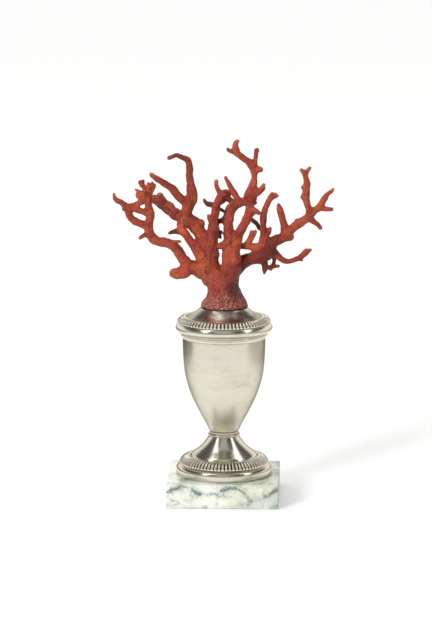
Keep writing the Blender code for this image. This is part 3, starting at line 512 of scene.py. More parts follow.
def joined(shapes):
    """Several shapes as one: each face's numbers are moved on past the vertices before it."""
    vertices, faces, start = [], [], 0
    for points, corners in shapes:
        vertices.append(points)
        faces += [[start + corner for corner in face] for face in corners]
        start += len(points)
    return np.vstack(vertices), faces


def mesh_from(name, vertices, faces):
    """A mesh in metres, shaded smooth, from vertices in millimetres."""
    mesh = bpy.data.meshes.new(name)
    mesh.from_pydata((np.asarray(vertices) * MM).tolist(), [], faces)
    mesh.shade_smooth()
    return mesh


def put(name, data):
    """A new object in the scene, with its mesh, light or camera."""
    thing = bpy.data.objects.new(name, data)
    bpy.context.scene.collection.objects.link(thing)
    return thing


def rounded(profile, steps=6):
    """A profile's corners turned into curves: (1-t)^2 before + 2t(1-t) corner + t^2 after.

    Before and after lie on the corner's two sides, at the length of its rounding or half the side.
    """
    rows = np.array(profile, dtype=float)
    corners, rounding = rows[:, :2], rows[:, 2:]
    ends = []
    for neighbour in (np.roll(corners, 1, axis=0), np.roll(corners, -1, axis=0)):
        side = neighbour - corners
        length = np.linalg.norm(side, axis=1, keepdims=True)
        ends.append(corners + side * np.minimum(rounding / length, 0.5))
    ends[0][0], ends[1][-1] = corners[0], corners[-1]
    t = np.linspace(0, 1, steps)[None, :, None]
    before, after = ends[0][:, None], ends[1][:, None]
    curve = (1 - t) ** 2 * before + 2 * t * (1 - t) * corners[:, None] + t**2 * after
    line = curve.reshape(-1, 2)
    apart = np.linalg.norm(np.diff(line, axis=0), axis=1) > 1e-4
    return line[np.concatenate([[True], apart])]


def turned(profile, sides=192):
    """A piece turned on the axis: (radius cos a, radius sin a, height) for each point of the profile.

    The profile is brought in to the axis before its corners are rounded, and a pole stands at each end.
    """
    line = rounded([(0, profile[0][1], 0), *profile, (0, profile[-1][1], 0)])[1:-1]
    angle = np.arange(sides) * TAU / sides
    radius, height = line[:, :1], line[:, 1:]
    grid = np.stack([
        radius * np.cos(angle), radius * np.sin(angle), np.repeat(height, sides, axis=1)], axis=-1)
    return ring_grid(grid, (0, 0, line[0, 1]), (0, 0, line[-1, 1]))


def gadroons(section, lobes, relief, steps=10):
    """A chased border, its section carried round the axis, and each point's share of a groove.

    The section is a Catmull-Rom curve through its points, with six to a span. Round the ring each lobe
    is |cos(lobes a / 2)|^0.7 less a half, and it moves the section along its own outward normal by the
    relief times the section's share.
    """
    rows = np.array(section, dtype=float)
    count = len(rows)
    along = np.linspace(0, count, 6 * count, endpoint=False)
    i = along.astype(int)
    t = (along - i)[:, None]
    before, here, after, next_on = (rows[(i + shift) % count] for shift in (-1, 0, 1, 2))
    line = 0.5 * (
        2 * here + (after - before) * t + (2 * before - 5 * here + 4 * after - next_on) * t**2
        + (3 * here - before - 3 * after + next_on) * t**3)
    way = np.roll(line[:, :2], -1, axis=0) - np.roll(line[:, :2], 1, axis=0)
    normal = unit(np.stack([way[:, 1], -way[:, 0]], axis=1))
    angle = np.arange(lobes * steps) * TAU / (lobes * steps)
    lobe = np.abs(np.cos(lobes * angle / 2)) ** 0.7
    share = np.clip(line[:, 2:], 0, 1)
    lift = relief * share * (lobe - 0.5)
    radius = line[:, :1] + lift * normal[:, :1]
    height = line[:, 1:2] + lift * normal[:, 1:]
    grid = np.stack([radius * np.cos(angle), radius * np.sin(angle), height], axis=-1)
    groove = share * (1 - lobe)
    return ring_grid(grid, wrap=True), groove.reshape(-1)


def slab(half, thick, edge):
    """A square slab with eased edges, as rings from the underside's middle to the top's.

    A ring's points are those of the square of half side half - edge, moved out by edge * sin e towards
    their side, or along a quarter circle at a corner, at the height edge * (1 - cos e). The rings at
    the top are the same the other way up.
    """
    e = np.linspace(0, np.pi / 2, 5)
    quarter = np.stack([np.cos(e), np.sin(e)], axis=1)
    along = np.linspace(-1, 1, 12)[1:-1]
    side = np.stack([-along, np.ones(len(along))], axis=1)
    outline, outward = [], []
    for corner in range(4):
        spin = corner * np.pi / 2
        matrix = np.array([[np.cos(spin), np.sin(spin)], [-np.sin(spin), np.cos(spin)]])
        outline += [np.ones((len(e), 2)) @ matrix, side @ matrix]
        outward += [quarter @ matrix, np.tile([0.0, 1.0], (len(along), 1)) @ matrix]
    outline, outward = (half - edge) * np.vstack(outline), np.vstack(outward)
    drawn_out = np.concatenate([np.sin(e), np.cos(e)])
    height = np.concatenate([edge * (1 - np.cos(e)), thick - edge * (1 - np.sin(e))])
    plans = [0.5 * outline, *(outline + edge * out * outward for out in drawn_out), 0.5 * outline]
    rings = [
        np.column_stack([plan, np.full(len(plan), z)]) for plan, z in zip(plans, [0.0, *height, thick])]
    return ring_grid(np.array(rings), (0, 0, 0), (0, 0, thick))


def in_space(points):
    """Place drawn points: across and up on the upright plane, then forward along the line of sight."""
    rows = np.array(points, dtype=float)
    drawn = np.stack([rows[:, 0], np.zeros(len(rows)), CORAL_BOTTOM + rows[:, 1]], axis=1)
    placed = drawn + rows[:, 2:3] * unit(EYE - drawn)
    return np.hstack([placed, rows[:, 3:]])


def smooth_line(knots, gap):
    """Points a gap apart on the cubic Hermite curve through knots, with slopes weighted by the spans."""
    span = np.linalg.norm(np.diff(knots[:, :3], axis=0), axis=1)
    slope = np.diff(knots, axis=0) / span[:, None]
    before, after = span[:-1, None], span[1:, None]
    inner = (slope[:-1] * after + slope[1:] * before) / (after + before)
    slopes = np.vstack([slope[:1], inner, slope[-1:]])
    ends = np.concatenate([[0], np.cumsum(span)])
    s = np.linspace(0, ends[-1], max(4, int(ends[-1] / gap) + 1))
    i = np.clip(np.searchsorted(ends, s, side="right") - 1, 0, len(span) - 1)
    length = span[i][:, None]
    t = (s - ends[i])[:, None] / length
    return (
        (2 * t**3 - 3 * t**2 + 1) * knots[i] + (t**3 - 2 * t**2 + t) * length * slopes[i]
        + (3 * t**2 - 2 * t**3) * knots[i + 1] + (t**3 - t**2) * length * slopes[i + 1])


def branch_line(name):
    """A branch's centre line and radii, begun inside the branch that it goes on from."""
    points = BRANCHES[name]
    if name in GOES_ON_FROM:
        points = BRANCHES[GOES_ON_FROM[name]][-2:] + points
    return smooth_line(in_space(points), LINE_GAP)


def carried_frame(line):
    """The way ahead along a line, and two directions square to it and to each other.

    The first is square to the axis to the back as well, or to the one across where the line runs back.
    """
    ahead = unit(np.gradient(line[:, :3], axis=0))
    back, across = np.array([0.0, 1.0, 0.0]), np.array([1.0, 0.0, 0.0])
    guide = back if np.abs(ahead[:, 1]).mean() < 0.7 else across
    side = unit(np.cross(ahead, guide))
    return ahead, side, np.cross(ahead, side)


def own_number(name):
    """A branch's own number, so that its waves and its grain aren't another's."""
    return sum(ord(letter) for letter in name)


def branch_shape(name, knobbliness):
    """A branch as a profile carried along its centre line, closed by a half-round end each way.

    Round the line the radius is r * (1 + k * slow waves in angle and length), and r swells by a
    fifth where a twig leaves its limb. At an end the rings shrink as r * cos e while they move on by
    r * sin e, or by nine tenths of that at the tip.
    """
    line = branch_line(name)
    ahead, side, over = carried_frame(line)
    sides = LIMB_SIDES if line[:, 3].max() > LIMB_RADIUS else TWIG_SIDES
    s = np.arange(len(line)) * LINE_GAP
    radius = np.maximum(line[:, 3], THINNEST_TWIG) + SKIN
    if name not in GOES_ON_FROM and not name.startswith("trunk"):
        radius = radius * (1 + 0.2 * np.exp(-s / (1.1 * radius[0])))
    first = line[0, :3] - radius[0] * np.sin(END_RINGS[::-1])[:, None] * ahead[0]
    last = line[-1, :3] + 0.9 * radius[-1] * np.sin(END_RINGS)[:, None] * ahead[-1]
    centres = np.vstack([first, line[:, :3], last])
    radii = np.concatenate([radius[0] * np.cos(END_RINGS[::-1]), radius, radius[-1] * np.cos(END_RINGS)])
    more = len(END_RINGS)
    sideways, overhead = (np.pad(way, ((more, more), (0, 0)), mode="edge") for way in (side, over))
    angle = np.arange(sides) * TAU / sides
    far = (np.arange(len(radii)) * LINE_GAP)[:, None]
    turn = own_number(name)
    waves = (
        0.9 * np.sin(2 * angle + turn + 0.21 * far) + 0.6 * np.sin(3 * angle - 2 * turn - 0.37 * far)
        + 0.7 * np.sin(3 * turn + 0.9 * far + np.sin(angle)))
    reach = (radii[:, None] * (1 + knobbliness * waves))[:, :, None]
    grid = centres[:, None] + reach * (
        np.cos(angle)[:, None] * sideways[:, None] + np.sin(angle)[:, None] * overhead[:, None])
    first_pole = first[0] - 0.05 * radius[0] * ahead[0]
    last_pole = last[-1] + 0.05 * radius[-1] * ahead[-1]
    return ring_grid(grid, first_pole, last_pole)


def stem_shape():
    """The stem as level rings: half width * cos a across and half depth * sin a deep, fluted upwards.

    The flutes deepen with height, where the stem parts into its limbs, and the rim of the foot waves.
    """
    rings = np.hstack([np.zeros((len(STEM_RINGS), 2)), np.array(STEM_RINGS)])
    rings = smooth_line(rings, LINE_GAP)[:, 2:]
    angle = np.arange(STEM_SIDES) * TAU / STEM_SIDES
    height = rings[:, :1]
    flutes = 0.03 * (height / STEM_RINGS[-1][0]) * np.sin(5 * angle + 0.6)
    waves = 0.022 * np.exp(-height / 3) * (
        np.sin(4 * angle) + np.sin(9 * angle + 1) + np.sin(14 * angle + 2))
    reach = 1 + flutes + 0.7 * waves
    grid = np.stack([
        rings[:, 1:2] + rings[:, 2:3] * reach * np.cos(angle), rings[:, 3:] * reach * np.sin(angle),
        np.broadcast_to(CORAL_BOTTOM + height, reach.shape)], axis=-1)
    bottom, top = (0, 0, CORAL_BOTTOM), (rings[-1, 1], 0, CORAL_BOTTOM + rings[-1, 0])
    return ring_grid(grid, bottom, top)


def fused(vertices, faces, grain):
    """Grow overlapping shapes into one skin of even quads with a voxel Remesh.

    It gives the skin's mesh, its vertices in millimetres and its edges.
    """
    rough = put("rough_coral", mesh_from("rough_coral", vertices, faces))
    remesh = rough.modifiers.new("Grow together", "REMESH")
    remesh.mode = "VOXEL"
    remesh.voxel_size = grain * MM
    skin = bpy.data.meshes.new_from_object(rough.evaluated_get(bpy.context.evaluated_depsgraph_get()))
    bpy.data.objects.remove(rough, do_unlink=True)
    points = np.empty(3 * len(skin.vertices))
    skin.vertices.foreach_get("co", points)
    edges = np.empty(2 * len(skin.edges), dtype=int)
    skin.edges.foreach_get("vertices", edges)
    return skin, points.reshape(-1, 3) / MM, edges.reshape(-1, 2)


def neighbour_mean(values, edges):
    """Each vertex's mean of a value over its neighbours: the sum over its edges by their number."""
    count = len(values)
    number = np.bincount(edges.ravel(), minlength=count)
    one, other = edges.T
    mean = [
        (np.bincount(one, column[other], count) + np.bincount(other, column[one], count)) / number
        for column in np.atleast_2d(values.T)]
    return np.array(mean).T.reshape(values.shape)


def skin_normals(skin, points):
    """Vertex normals of a skin whose vertices have been moved."""
    skin.vertices.foreach_set("co", (points * MM).ravel())
    skin.update()
    normals = np.empty(3 * len(points))
    skin.vertex_normals.foreach_get("vector", normals)
    return normals.reshape(-1, 3)


def with_fillets(skin, points, edges, passes):
    """Fill the hollows where branches meet: each pass moves a vertex towards its neighbours' mean.

    It moves by three tenths of the way along the surface and, along the normal, by six tenths where
    that is outwards and one tenth where it is inwards. Every fourth pass has new normals.
    """
    for step in range(passes):
        if step % 4 == 0:
            normals = skin_normals(skin, points)
        pull = neighbour_mean(points, edges) - points
        out = (pull * normals).sum(axis=1, keepdims=True)
        points = points + 0.3 * (pull - out * normals) + np.where(out > 0, 0.6, 0.1) * out * normals
    return points


def nearest_on_branches(points, batch=4000, no_tip=99.0):
    """For each point: the way round, along and to the tip of its branch, its radius and its painted shade.

    The branch is the one whose surface is nearest: the least distance to a centre line less its radius.
    """
    lines, frames, alongs, tips, painted_shades = [], [], [], [], []
    for name in BRANCHES:
        line = branch_line(name)
        ahead, side, over = carried_frame(line)
        s = np.arange(len(line)) * LINE_GAP
        lines.append(line)
        frames.append(np.stack([side, over], axis=1))
        alongs.append(s + own_number(name) % 50)
        tips.append(np.full(len(line), no_tip) if name in GOES_ON_FROM.values() else s[-1] - s)
        painted_shades.append(np.full(len(line), SHADED_BRANCHES.get(name, 0.0)))
    line, along, tip, dark = (np.concatenate(rows) for rows in (lines, alongs, tips, painted_shades))
    frames = np.vstack(frames)
    centres, radius = line[:, :3], line[:, 3]
    found = np.empty(len(points), dtype=int)
    for start in range(0, len(points), batch):
        some = points[start:start + batch]
        square = (some**2).sum(axis=1)[:, None] + (centres**2).sum(axis=1) - 2 * some @ centres.T
        found[start:start + batch] = (np.sqrt(np.maximum(square, 0)) - radius).argmin(axis=1)
    away = unit(points - centres[found] + 1e-6)
    around = np.einsum("ij,ikj->ik", away, frames[found]) * radius[found, None]
    return around, along[found], tip[found], radius[found], dark[found]


def crust_share(points, up):
    """The crust's share of each point: 1 at the foot, 0 above its wandering edge and next to the lid."""
    edge = CRUST_HEIGHT + CRUST_WANDER * lattice_noise(points, 5.0, 3)
    return np.clip((edge - up) / CRUST_FADE, 0, 1) * np.clip(up / 0.6, 0, 1)


def surface_relief(points, around, along, radius, crust, sizes):
    """How far each point stands out: noise sums for lumps, also drawn out along the branch, and grains.

    Lumps grow with the branch's radius and halve under the crust, and the grains are the crust's own.
    """
    drawn_out = np.column_stack([around, along / 5])
    lumps = (
        0.6 * lattice_noise(points, 4.2, 1) + 0.5 * lattice_noise(points, 1.9, 2)
        + 0.55 * lattice_noise(drawn_out, 1.1, 6))
    grains = lattice_noise(points, 1.1, 4) + 0.5 * lattice_noise(points, 2.1, 5)
    size = np.clip(radius / 2.5, 0.35, 1.3)
    return sizes.lumpiness * lumps * size * (1 - 0.5 * crust) + 0.8 * sizes.crust_relief * crust * grains


def stem_side_shade(points, up):
    """Painted shade on the stem's right side, away from the light, from a little above its foot to its
    forks.
    """
    right = np.clip((points[:, 0] + 3.5) / 7, 0, 1)
    return right * np.clip((24 - up) / 8, 0, 1) * np.clip(up / 8, 0, 1)


# Materials: shader maths written as sums


class Field:
    """A shader socket that can stand in a Python expression: each operator adds its Math node."""

    def __init__(self, nodes, socket):
        self.nodes = nodes
        self.socket = socket

    def maths(self, operation, first, second=0.5):
        """A Math node on one or two values."""
        return self.nodes.add("ShaderNodeMath", {"operation": operation}, {0: first, 1: second})

    def __add__(self, other):
        return self.maths("ADD", self, other)

    def __sub__(self, other):
        return self.maths("SUBTRACT", self, other)

    def __rsub__(self, other):
        return self.maths("SUBTRACT", other, self)

    def __mul__(self, other):
        return self.maths("MULTIPLY", self, other)

    __radd__ = __add__
    __rmul__ = __mul__

    def magnitude(self):
        """The value without its sign."""
        return self.maths("ABSOLUTE", self)

    def between(self, low, high):
        """0 at low, 1 at high, and an s-curve from one to the other."""
        ends = {"Value": self, "From Min": low, "From Max": high}
        return self.nodes.add("ShaderNodeMapRange", {"interpolation_type": "SMOOTHSTEP"}, ends)


class Nodes:
    """A node tree under construction, and the place that its patterns are read from."""

    def __init__(self, tree, coordinates):
        self.tree = tree
        self.place = self.add("ShaderNodeTexCoord", output=coordinates)

    def add(self, kind, settings=None, values=None, output=0, stops=None):
        """Make a node: its settings and a ramp's stops first, then its sockets' values or links."""
        node = self.tree.nodes.new(kind)
        for setting, value in (settings or {}).items():
            setattr(node, setting, value)
        for position, colour in stops or []:
            node.color_ramp.elements.new(position).color = (*colour, 1.0)
        if stops:
            node.color_ramp.elements.remove(node.color_ramp.elements[0])
            node.color_ramp.elements.remove(node.color_ramp.elements[-1])
        for socket, value in (values or {}).items():
            if isinstance(value, Field):
                self.tree.links.new(value.socket, node.inputs[socket])
            else:
                node.inputs[socket].default_value = value
        return Field(self, node.outputs[output])

    def axis(self, name, where=None):
        """One of a place's X, Y and Z."""
        return self.add("ShaderNodeSeparateXYZ", values={"Vector": where or self.place}, output=name)


class Shade(Nodes):
    """One material under construction, on Object coordinates in metres."""

    def __init__(self, name):
        self.material = bpy.data.materials.new(name)
        self.material.use_nodes = True
        super().__init__(self.material.node_tree, "Object")
        self.principled = self.tree.nodes["Principled BSDF"]

    def noise(self, scale, detail=3.0, roughness=0.55, where=None):
        """Noise from 0 to 1, of so many waves to the metre."""
        values = {"Vector": where or self.place, "Scale": scale, "Detail": detail, "Roughness": roughness}
        return self.add("ShaderNodeTexNoise", values=values)

    def stretched(self, across, deep, up, where=None):
        """The place with each axis multiplied, so that a pattern is drawn out along the smallest."""
        values = {0: where or self.place, 1: (across, deep, up)}
        return self.add("ShaderNodeVectorMath", {"operation": "MULTIPLY"}, values)

    def moved(self, scale, amount):
        """The place pushed about by noise, so that a pattern on it wanders."""
        place = self.add("ShaderNodeTexNoise", values={"Vector": self.place, "Scale": scale}, output="Color")
        for operation, values in (
                ("SUBTRACT", {1: (0.5, 0.5, 0.5)}), ("SCALE", {"Scale": amount}), ("ADD", {1: self.place})):
            place = self.add("ShaderNodeVectorMath", {"operation": operation}, {0: place, **values})
        return place

    def kept(self, name, output="Fac"):
        """A number, or with the output Vector a vector, kept with the mesh's vertices."""
        return self.add("ShaderNodeAttribute", {"attribute_name": name}, output=output)

    def mixed(self, share, first, second):
        """A colour part of the way from the first to the second."""
        ends = [value if isinstance(value, Field) else (*value[:3], 1.0) for value in (first, second)]
        values = {0: share, 6: ends[0], 7: ends[1]}
        return self.add("ShaderNodeMix", {"data_type": "RGBA"}, values, output=2)

    def finish(self, colour, roughness, height, depth, **constants):
        """Link what varies, with a Bump of so many metres' depth on the normal, and set what is constant."""
        self.tree.links.new(colour.socket, self.principled.inputs["Base Color"])
        self.tree.links.new(roughness.socket, self.principled.inputs["Roughness"])
        bump = self.add("ShaderNodeBump", values={"Height": height, "Distance": depth}, output="Normal")
        self.tree.links.new(bump.socket, self.principled.inputs["Normal"])
        for socket, value in constants.items():
            self.principled.inputs[socket.replace("_", " ")].default_value = value
        return self.material


def red_coral(sizes):
    """Red coral: streaks, mottling, painted shade in hollows and shaded parts, dull tips, a crusted foot."""
    shade = Shade("Red coral")
    grain = shade.kept("grain", "Vector")
    broad = shade.noise(70.0, 3.0, 0.6)
    mottle = shade.noise(380.0, 5.0, 0.65)
    streaks = shade.noise(1.0, 3.0, 0.6, shade.stretched(900.0, 900.0, 110.0, grain))
    fine = shade.noise(1.0, 2.0, 0.5, shade.stretched(2600.0, 2600.0, 260.0, grain))
    painted_hollow_shade, tip, dark = shade.kept("painted_hollow_shade"), shade.kept("tip"), shade.kept("dark")
    tone = (
        0.42 * broad.between(0.3, 0.7) + 0.34 * streaks.between(0.25, 0.75)
        + 0.24 * mottle.between(0.25, 0.75))
    deep, lit = sizes.deep_colour, sizes.lit_colour
    middle = [0.45 * a + 0.55 * b for a, b in zip(deep, lit)]
    red = shade.add(
        "ShaderNodeValToRGB", values={"Fac": tone}, output="Color",
        stops=[(0.14, deep), (0.48, middle), (0.84, lit)])
    warmth = shade.noise(48.0, 3.0, 0.6, shade.moved(90.0, 0.01)).between(0.46, 0.62)
    red = shade.mixed(0.6 * warmth * tone.between(0.25, 0.65), red, sizes.warm_colour)
    crimson = shade.noise(110.0, 3.0, 0.55, shade.moved(70.0, 0.008)).between(0.5, 0.64)
    red = shade.mixed(0.5 * crimson * (1 - warmth), red, CRIMSON)
    scales = shade.noise(900.0, 4.0, 0.7)
    red = shade.mixed(0.5 * scales.between(0.56, 0.7) * broad.between(0.5, 0.62), red, sizes.tip_colour)
    specks = shade.noise(1500.0, 3.0, 0.65)
    red = shade.mixed(0.7 * specks.between(0.51, 0.64), red, deep)
    red = shade.mixed(0.35 * specks.between(0.46, 0.36), red, BRIGHT_FLECK)
    # Painted shade in the hollows between branches, where the fillets filled them
    red = shade.mixed(0.8 * painted_hollow_shade, red, HOLLOW_SHADE_RED)
    # Painted shade on the branches that lie in shade and on the stem's right side
    red = shade.mixed(0.88 * dark * (0.6 + 0.6 * mottle), red, SHADE_RED)
    red = shade.mixed(0.4 * tip * mottle.between(0.4, 0.6), red, sizes.tip_colour)
    height = shade.axis("Z") - CORAL_BOTTOM * MM
    wander = 0.02 * broad + 0.014 * mottle
    crust = (height - wander).between(-0.003, -0.0125)
    grit = shade.noise(700.0, 6.0, 0.75)
    chips = shade.noise(430.0, 5.0, 0.7, shade.moved(300.0, 0.002))
    crusted = shade.mixed(grit.between(0.40, 0.62), CRUST_PIT, sizes.crust_colour)
    crusted = shade.mixed(0.8 * chips.between(0.56, 0.66), crusted, CRUST_CHIP)
    dusty = (height - 1.6 * wander).between(0.0, -0.026) * grit.between(0.52, 0.62)
    red = shade.mixed(0.6 * dusty, red, DUST)
    colour = shade.mixed(crust, red, crusted)
    roughness = 0.28 + 0.3 * mottle + 0.3 * crust + 0.12 * tip
    relief = 0.6 * streaks + 0.25 * fine + 0.5 * mottle + 1.1 * crust * (grit + chips)
    return shade.finish(colour, roughness, relief, 0.0008, Specular_IOR_Level=0.24)


def old_silver(name, clean, stain, roughness, tarnish, edge=BRIGHT_EDGE):
    """Worn silver: hair scratches round the turning, and tarnish in its grooves and in patches.

    The edge is the tint of what the silver mirrors where it turns away; a dark tint there is painted shade.
    """
    shade = Shade(name)
    cloud = shade.noise(38.0, 3.0)
    smear = shade.noise(1.0, 4.0, 0.6, shade.stretched(60.0, 60.0, 260.0, shade.moved(20.0, 0.01)))
    scratches = shade.noise(1.0, 3.0, 0.7, shade.stretched(90.0, 90.0, 5200.0))
    specks = shade.noise(900.0, 2.0, 0.6)
    groove = shade.kept("groove")
    brown = tarnish * (0.7 * cloud + 0.3 * smear).between(0.42, 0.68) + groove.between(0.12, 0.58)
    colour = shade.mixed(brown.between(0.0, 1.0), clean, stain)
    colour = shade.mixed(0.25 * specks.between(0.6, 0.75), colour, SILVER_SPECK)
    dull = roughness + 0.05 * smear + 0.06 * scratches + 0.2 * groove
    relief = 0.5 * scratches + 0.5 * specks
    return shade.finish(colour, dull, relief, 0.00002, Metallic=1.0, Specular_Tint=edge)


def veined_marble(sizes):
    """Pale marble with green-grey clouds, a broad vein that wanders across it, and a few thin ones."""
    shade = Shade("Veined marble")
    wandering = shade.moved(60.0, 0.014)
    jagged = shade.moved(260.0, 0.009)
    clouds = shade.noise(30.0, 5.0, 0.62, wandering)
    band = shade.noise(1.0, 5.0, 0.66, shade.stretched(20.0, 20.0, 40.0, wandering))
    thin = shade.noise(1.0, 5.0, 0.66, shade.stretched(50.0, 50.0, 80.0, jagged))
    swell = shade.add("ShaderNodeMath", {"operation": "SINE"}, {0: 190.0 * shade.axis("X") + 3.5})
    across = 0.5 * (shade.axis("Z", wandering) + shade.axis("Z", jagged))
    main = (across + 0.0045 * swell - 0.0115 + 0.016 * (clouds - 0.5)).magnitude()
    grain = shade.noise(900.0, 5.0, 0.65)
    broken = shade.noise(120.0, 3.0).between(0.36, 0.56)
    broad_vein = (1 - main.between(0.0003, 0.0019)) * broken
    shadow = 1 - main.between(0.0, 0.0045)
    vein = (1 - (band - 0.5).magnitude().between(0.002, 0.013)) * broken
    halo = 1 - (band - 0.5).magnitude().between(0.01, 0.12)
    hair = (1 - (thin - 0.5).magnitude().between(0.002, 0.014)) * clouds.between(0.46, 0.56)
    ground = shade.mixed(0.6 * clouds.between(0.42, 0.6), sizes.ground_colour, GREEN_CLOUD)
    ground = shade.mixed(0.4 * shade.noise(26.0, 3.0).between(0.5, 0.62), ground, YELLOW_CLOUD)
    cloudy = shade.mixed(0.5 * halo * clouds.between(0.35, 0.6), ground, VEIN_HALO)
    cloudy = shade.mixed(0.8 * shadow * broken * grain.between(0.3, 0.55), cloudy, VEIN_SHADOW)
    veined = shade.mixed(0.7 * vein * grain.between(0.3, 0.55), cloudy, sizes.vein_colour)
    veined = shade.mixed(0.85 * broad_vein * grain.between(0.25, 0.5), veined, sizes.vein_colour)
    colour = shade.mixed(0.65 * hair, veined, sizes.vein_colour)
    roughness = 0.26 + 0.1 * vein + 0.08 * grain
    relief = 0.5 * grain + 0.4 * vein
    return shade.finish(colour, roughness, relief, 0.00003, Coat_Weight=0.2, Coat_Roughness=0.1)


def studio_floor(sizes):
    """The floor: faintly clouded, matt, and a little lit from below."""
    shade = Shade("Studio floor")
    cloud = shade.noise(1.5, 2.0)
    tint = shade.mixed(0.04 * cloud, sizes.floor_colour, FLOOR_CLOUD)
    return shade.finish(tint, 0.6 + 0.1 * cloud, cloud, 0.0001, Emission_Strength=sizes.floor_glow)


def grey_card():
    """A dull card that is seen in the silver alone."""
    shade = Shade("Grey card")
    cloud = shade.noise(4.0, 1.0)
    return shade.finish(shade.mixed(cloud, *CARD_GREYS), 0.8 + 0.1 * cloud, cloud, 0.0001)


# Settings that a user would change


def colour_setting(name, description, default):
    """A colour that a user may change."""
    return bpy.props.FloatVectorProperty(
        name=name, description=description, default=default, size=3, subtype="COLOR", min=0.0, max=1.0)


class CoralSizes(bpy.types.PropertyGroup):
    """The coral's make and colours."""

    grain: bpy.props.FloatProperty(
        name="Grain", default=0.57, min=0.3, max=2.0,
        description="Side of the small faces that the branches are grown together in, in millimetres")
    knobbliness: bpy.props.FloatProperty(
        name="Knobbliness", description="How far the branches swell and shrink, as a share of their radius",
        default=0.05, min=0.0, max=0.2, subtype="FACTOR")
    lumpiness: bpy.props.FloatProperty(
        name="Lumpiness", description="Height of the lumps and ridges on the branches, in millimetres",
        default=0.42, min=0.0, max=1.0)
    fillet_passes: bpy.props.IntProperty(
        name="Fillet passes", description="How often the hollows between branches are filled",
        default=14, min=0)
    crust_relief: bpy.props.FloatProperty(
        name="Crust relief", description="Height of the crust's grains at the foot, in millimetres",
        default=0.28, min=0.0, max=1.0)
    lit_colour: colour_setting("Light red", "Colour of the raised streaks", (0.335, 0.049, 0.022))
    warm_colour: colour_setting("Orange red", "Colour of the warm patches", (0.39, 0.086, 0.028))
    deep_colour: colour_setting("Deep red", "Colour of the low streaks", (0.105, 0.011, 0.008))
    tip_colour: colour_setting("Tips", "Colour of the dull, worn tips", (0.34, 0.13, 0.09))
    crust_colour: colour_setting("Crust", "Colour of the crust round the foot", (0.33, 0.12, 0.085))


class UrnSizes(bpy.types.PropertyGroup):
    """The urn's borders and metal."""

    lobes: bpy.props.IntProperty(
        name="Gadroons", description="Number of gadroons round each border", default=76, min=12)
    relief: bpy.props.FloatProperty(
        name="Gadroon relief", description="Height of a gadroon above its groove, in millimetres",
        default=1.25, min=0.0, max=2.0)
    silver_colour: colour_setting("Silver", "Colour of the clean silver", (0.72, 0.68, 0.575))
    # Painted highlight: the chased borders' silver is drawn brighter than the rest, standing in for the
    # bright reflections they catch
    brightened_border_colour: colour_setting("Chased silver", "Colour of the borders and mouldings", (0.92, 0.87, 0.74))
    tarnish_colour: colour_setting("Tarnish", "Colour of the tarnish in the grooves", (0.15, 0.095, 0.04))


class PlinthSizes(bpy.types.PropertyGroup):
    """The plinth's edge and stone."""

    edge: bpy.props.FloatProperty(
        name="Edge", description="Radius of the eased edges, in millimetres", default=0.7, min=0.1, max=4.0)
    ground_colour: colour_setting("Ground", "Colour of the pale stone", (0.61, 0.62, 0.565))
    vein_colour: colour_setting("Veins", "Colour of the veins", (0.075, 0.10, 0.085))


class StageSizes(bpy.types.PropertyGroup):
    """The floor, the light and the camera."""

    floor_colour: colour_setting("Floor", "Colour of the studio floor", (0.56, 0.56, 0.56))
    floor_glow: bpy.props.FloatProperty(
        name="Floor glow", description="Light that comes up through the floor", default=0.19, min=0.0)
    key_power: bpy.props.FloatProperty(
        name="Key light", description="Strength of the low light from the front left", default=2.6, min=0.0)
    fill_power: bpy.props.FloatProperty(
        name="Fill light", description="Strength of the very broad light from above on the left",
        default=2.65, min=0.0)
    strip_brightness: bpy.props.FloatProperty(
        name="Strip lights", description="Brightness of the two strips under the ceiling",
        default=2.2, min=0.0)
    strip_width: bpy.props.FloatProperty(
        name="Strip width", description="Width of each strip", default=0.55, min=0.01, unit="LENGTH")
    strip_height: bpy.props.FloatProperty(
        name="Strip height", description="Height of the strips above the floor", default=2.0, min=0.5,
        unit="LENGTH")
    front_wall: bpy.props.FloatProperty(
        name="Front wall", description="Brightness of the studio behind the camera", default=0.4, min=0.0)
    back_wall: bpy.props.FloatProperty(
        name="Back wall", description="Brightness of the backdrop", default=1.1, min=0.0)
    ceiling: bpy.props.FloatProperty(
        name="Ceiling", description="Brightness of the sides of the studio's ceiling", default=0.1, min=0.0)
    overhead: bpy.props.FloatProperty(
        name="Overhead", description="Brightness of the band along the middle of the ceiling", default=0.5,
        min=0.0)
    lens: bpy.props.FloatProperty(
        name="Lens", description="Focal length of the camera", default=170.9, unit="CAMERA", min=10.0)


# Operators: one for each group of pieces


def show(name, mesh, finish, slot, *nodes):
    """Put a finished piece in the scene in place of its solids."""
    mesh.materials.append(finish)
    piece = put(name, mesh)
    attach(piece, "root")
    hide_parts(*nodes)


def keep(mesh, name, kind, values):
    """Keep numbers with a mesh's vertices for its material to read."""
    attribute = mesh.attributes.new(name, kind, "POINT")
    field = "vector" if kind == "FLOAT_VECTOR" else "value"
    attribute.data.foreach_set(field, np.ascontiguousarray(values, dtype=np.float32).ravel())


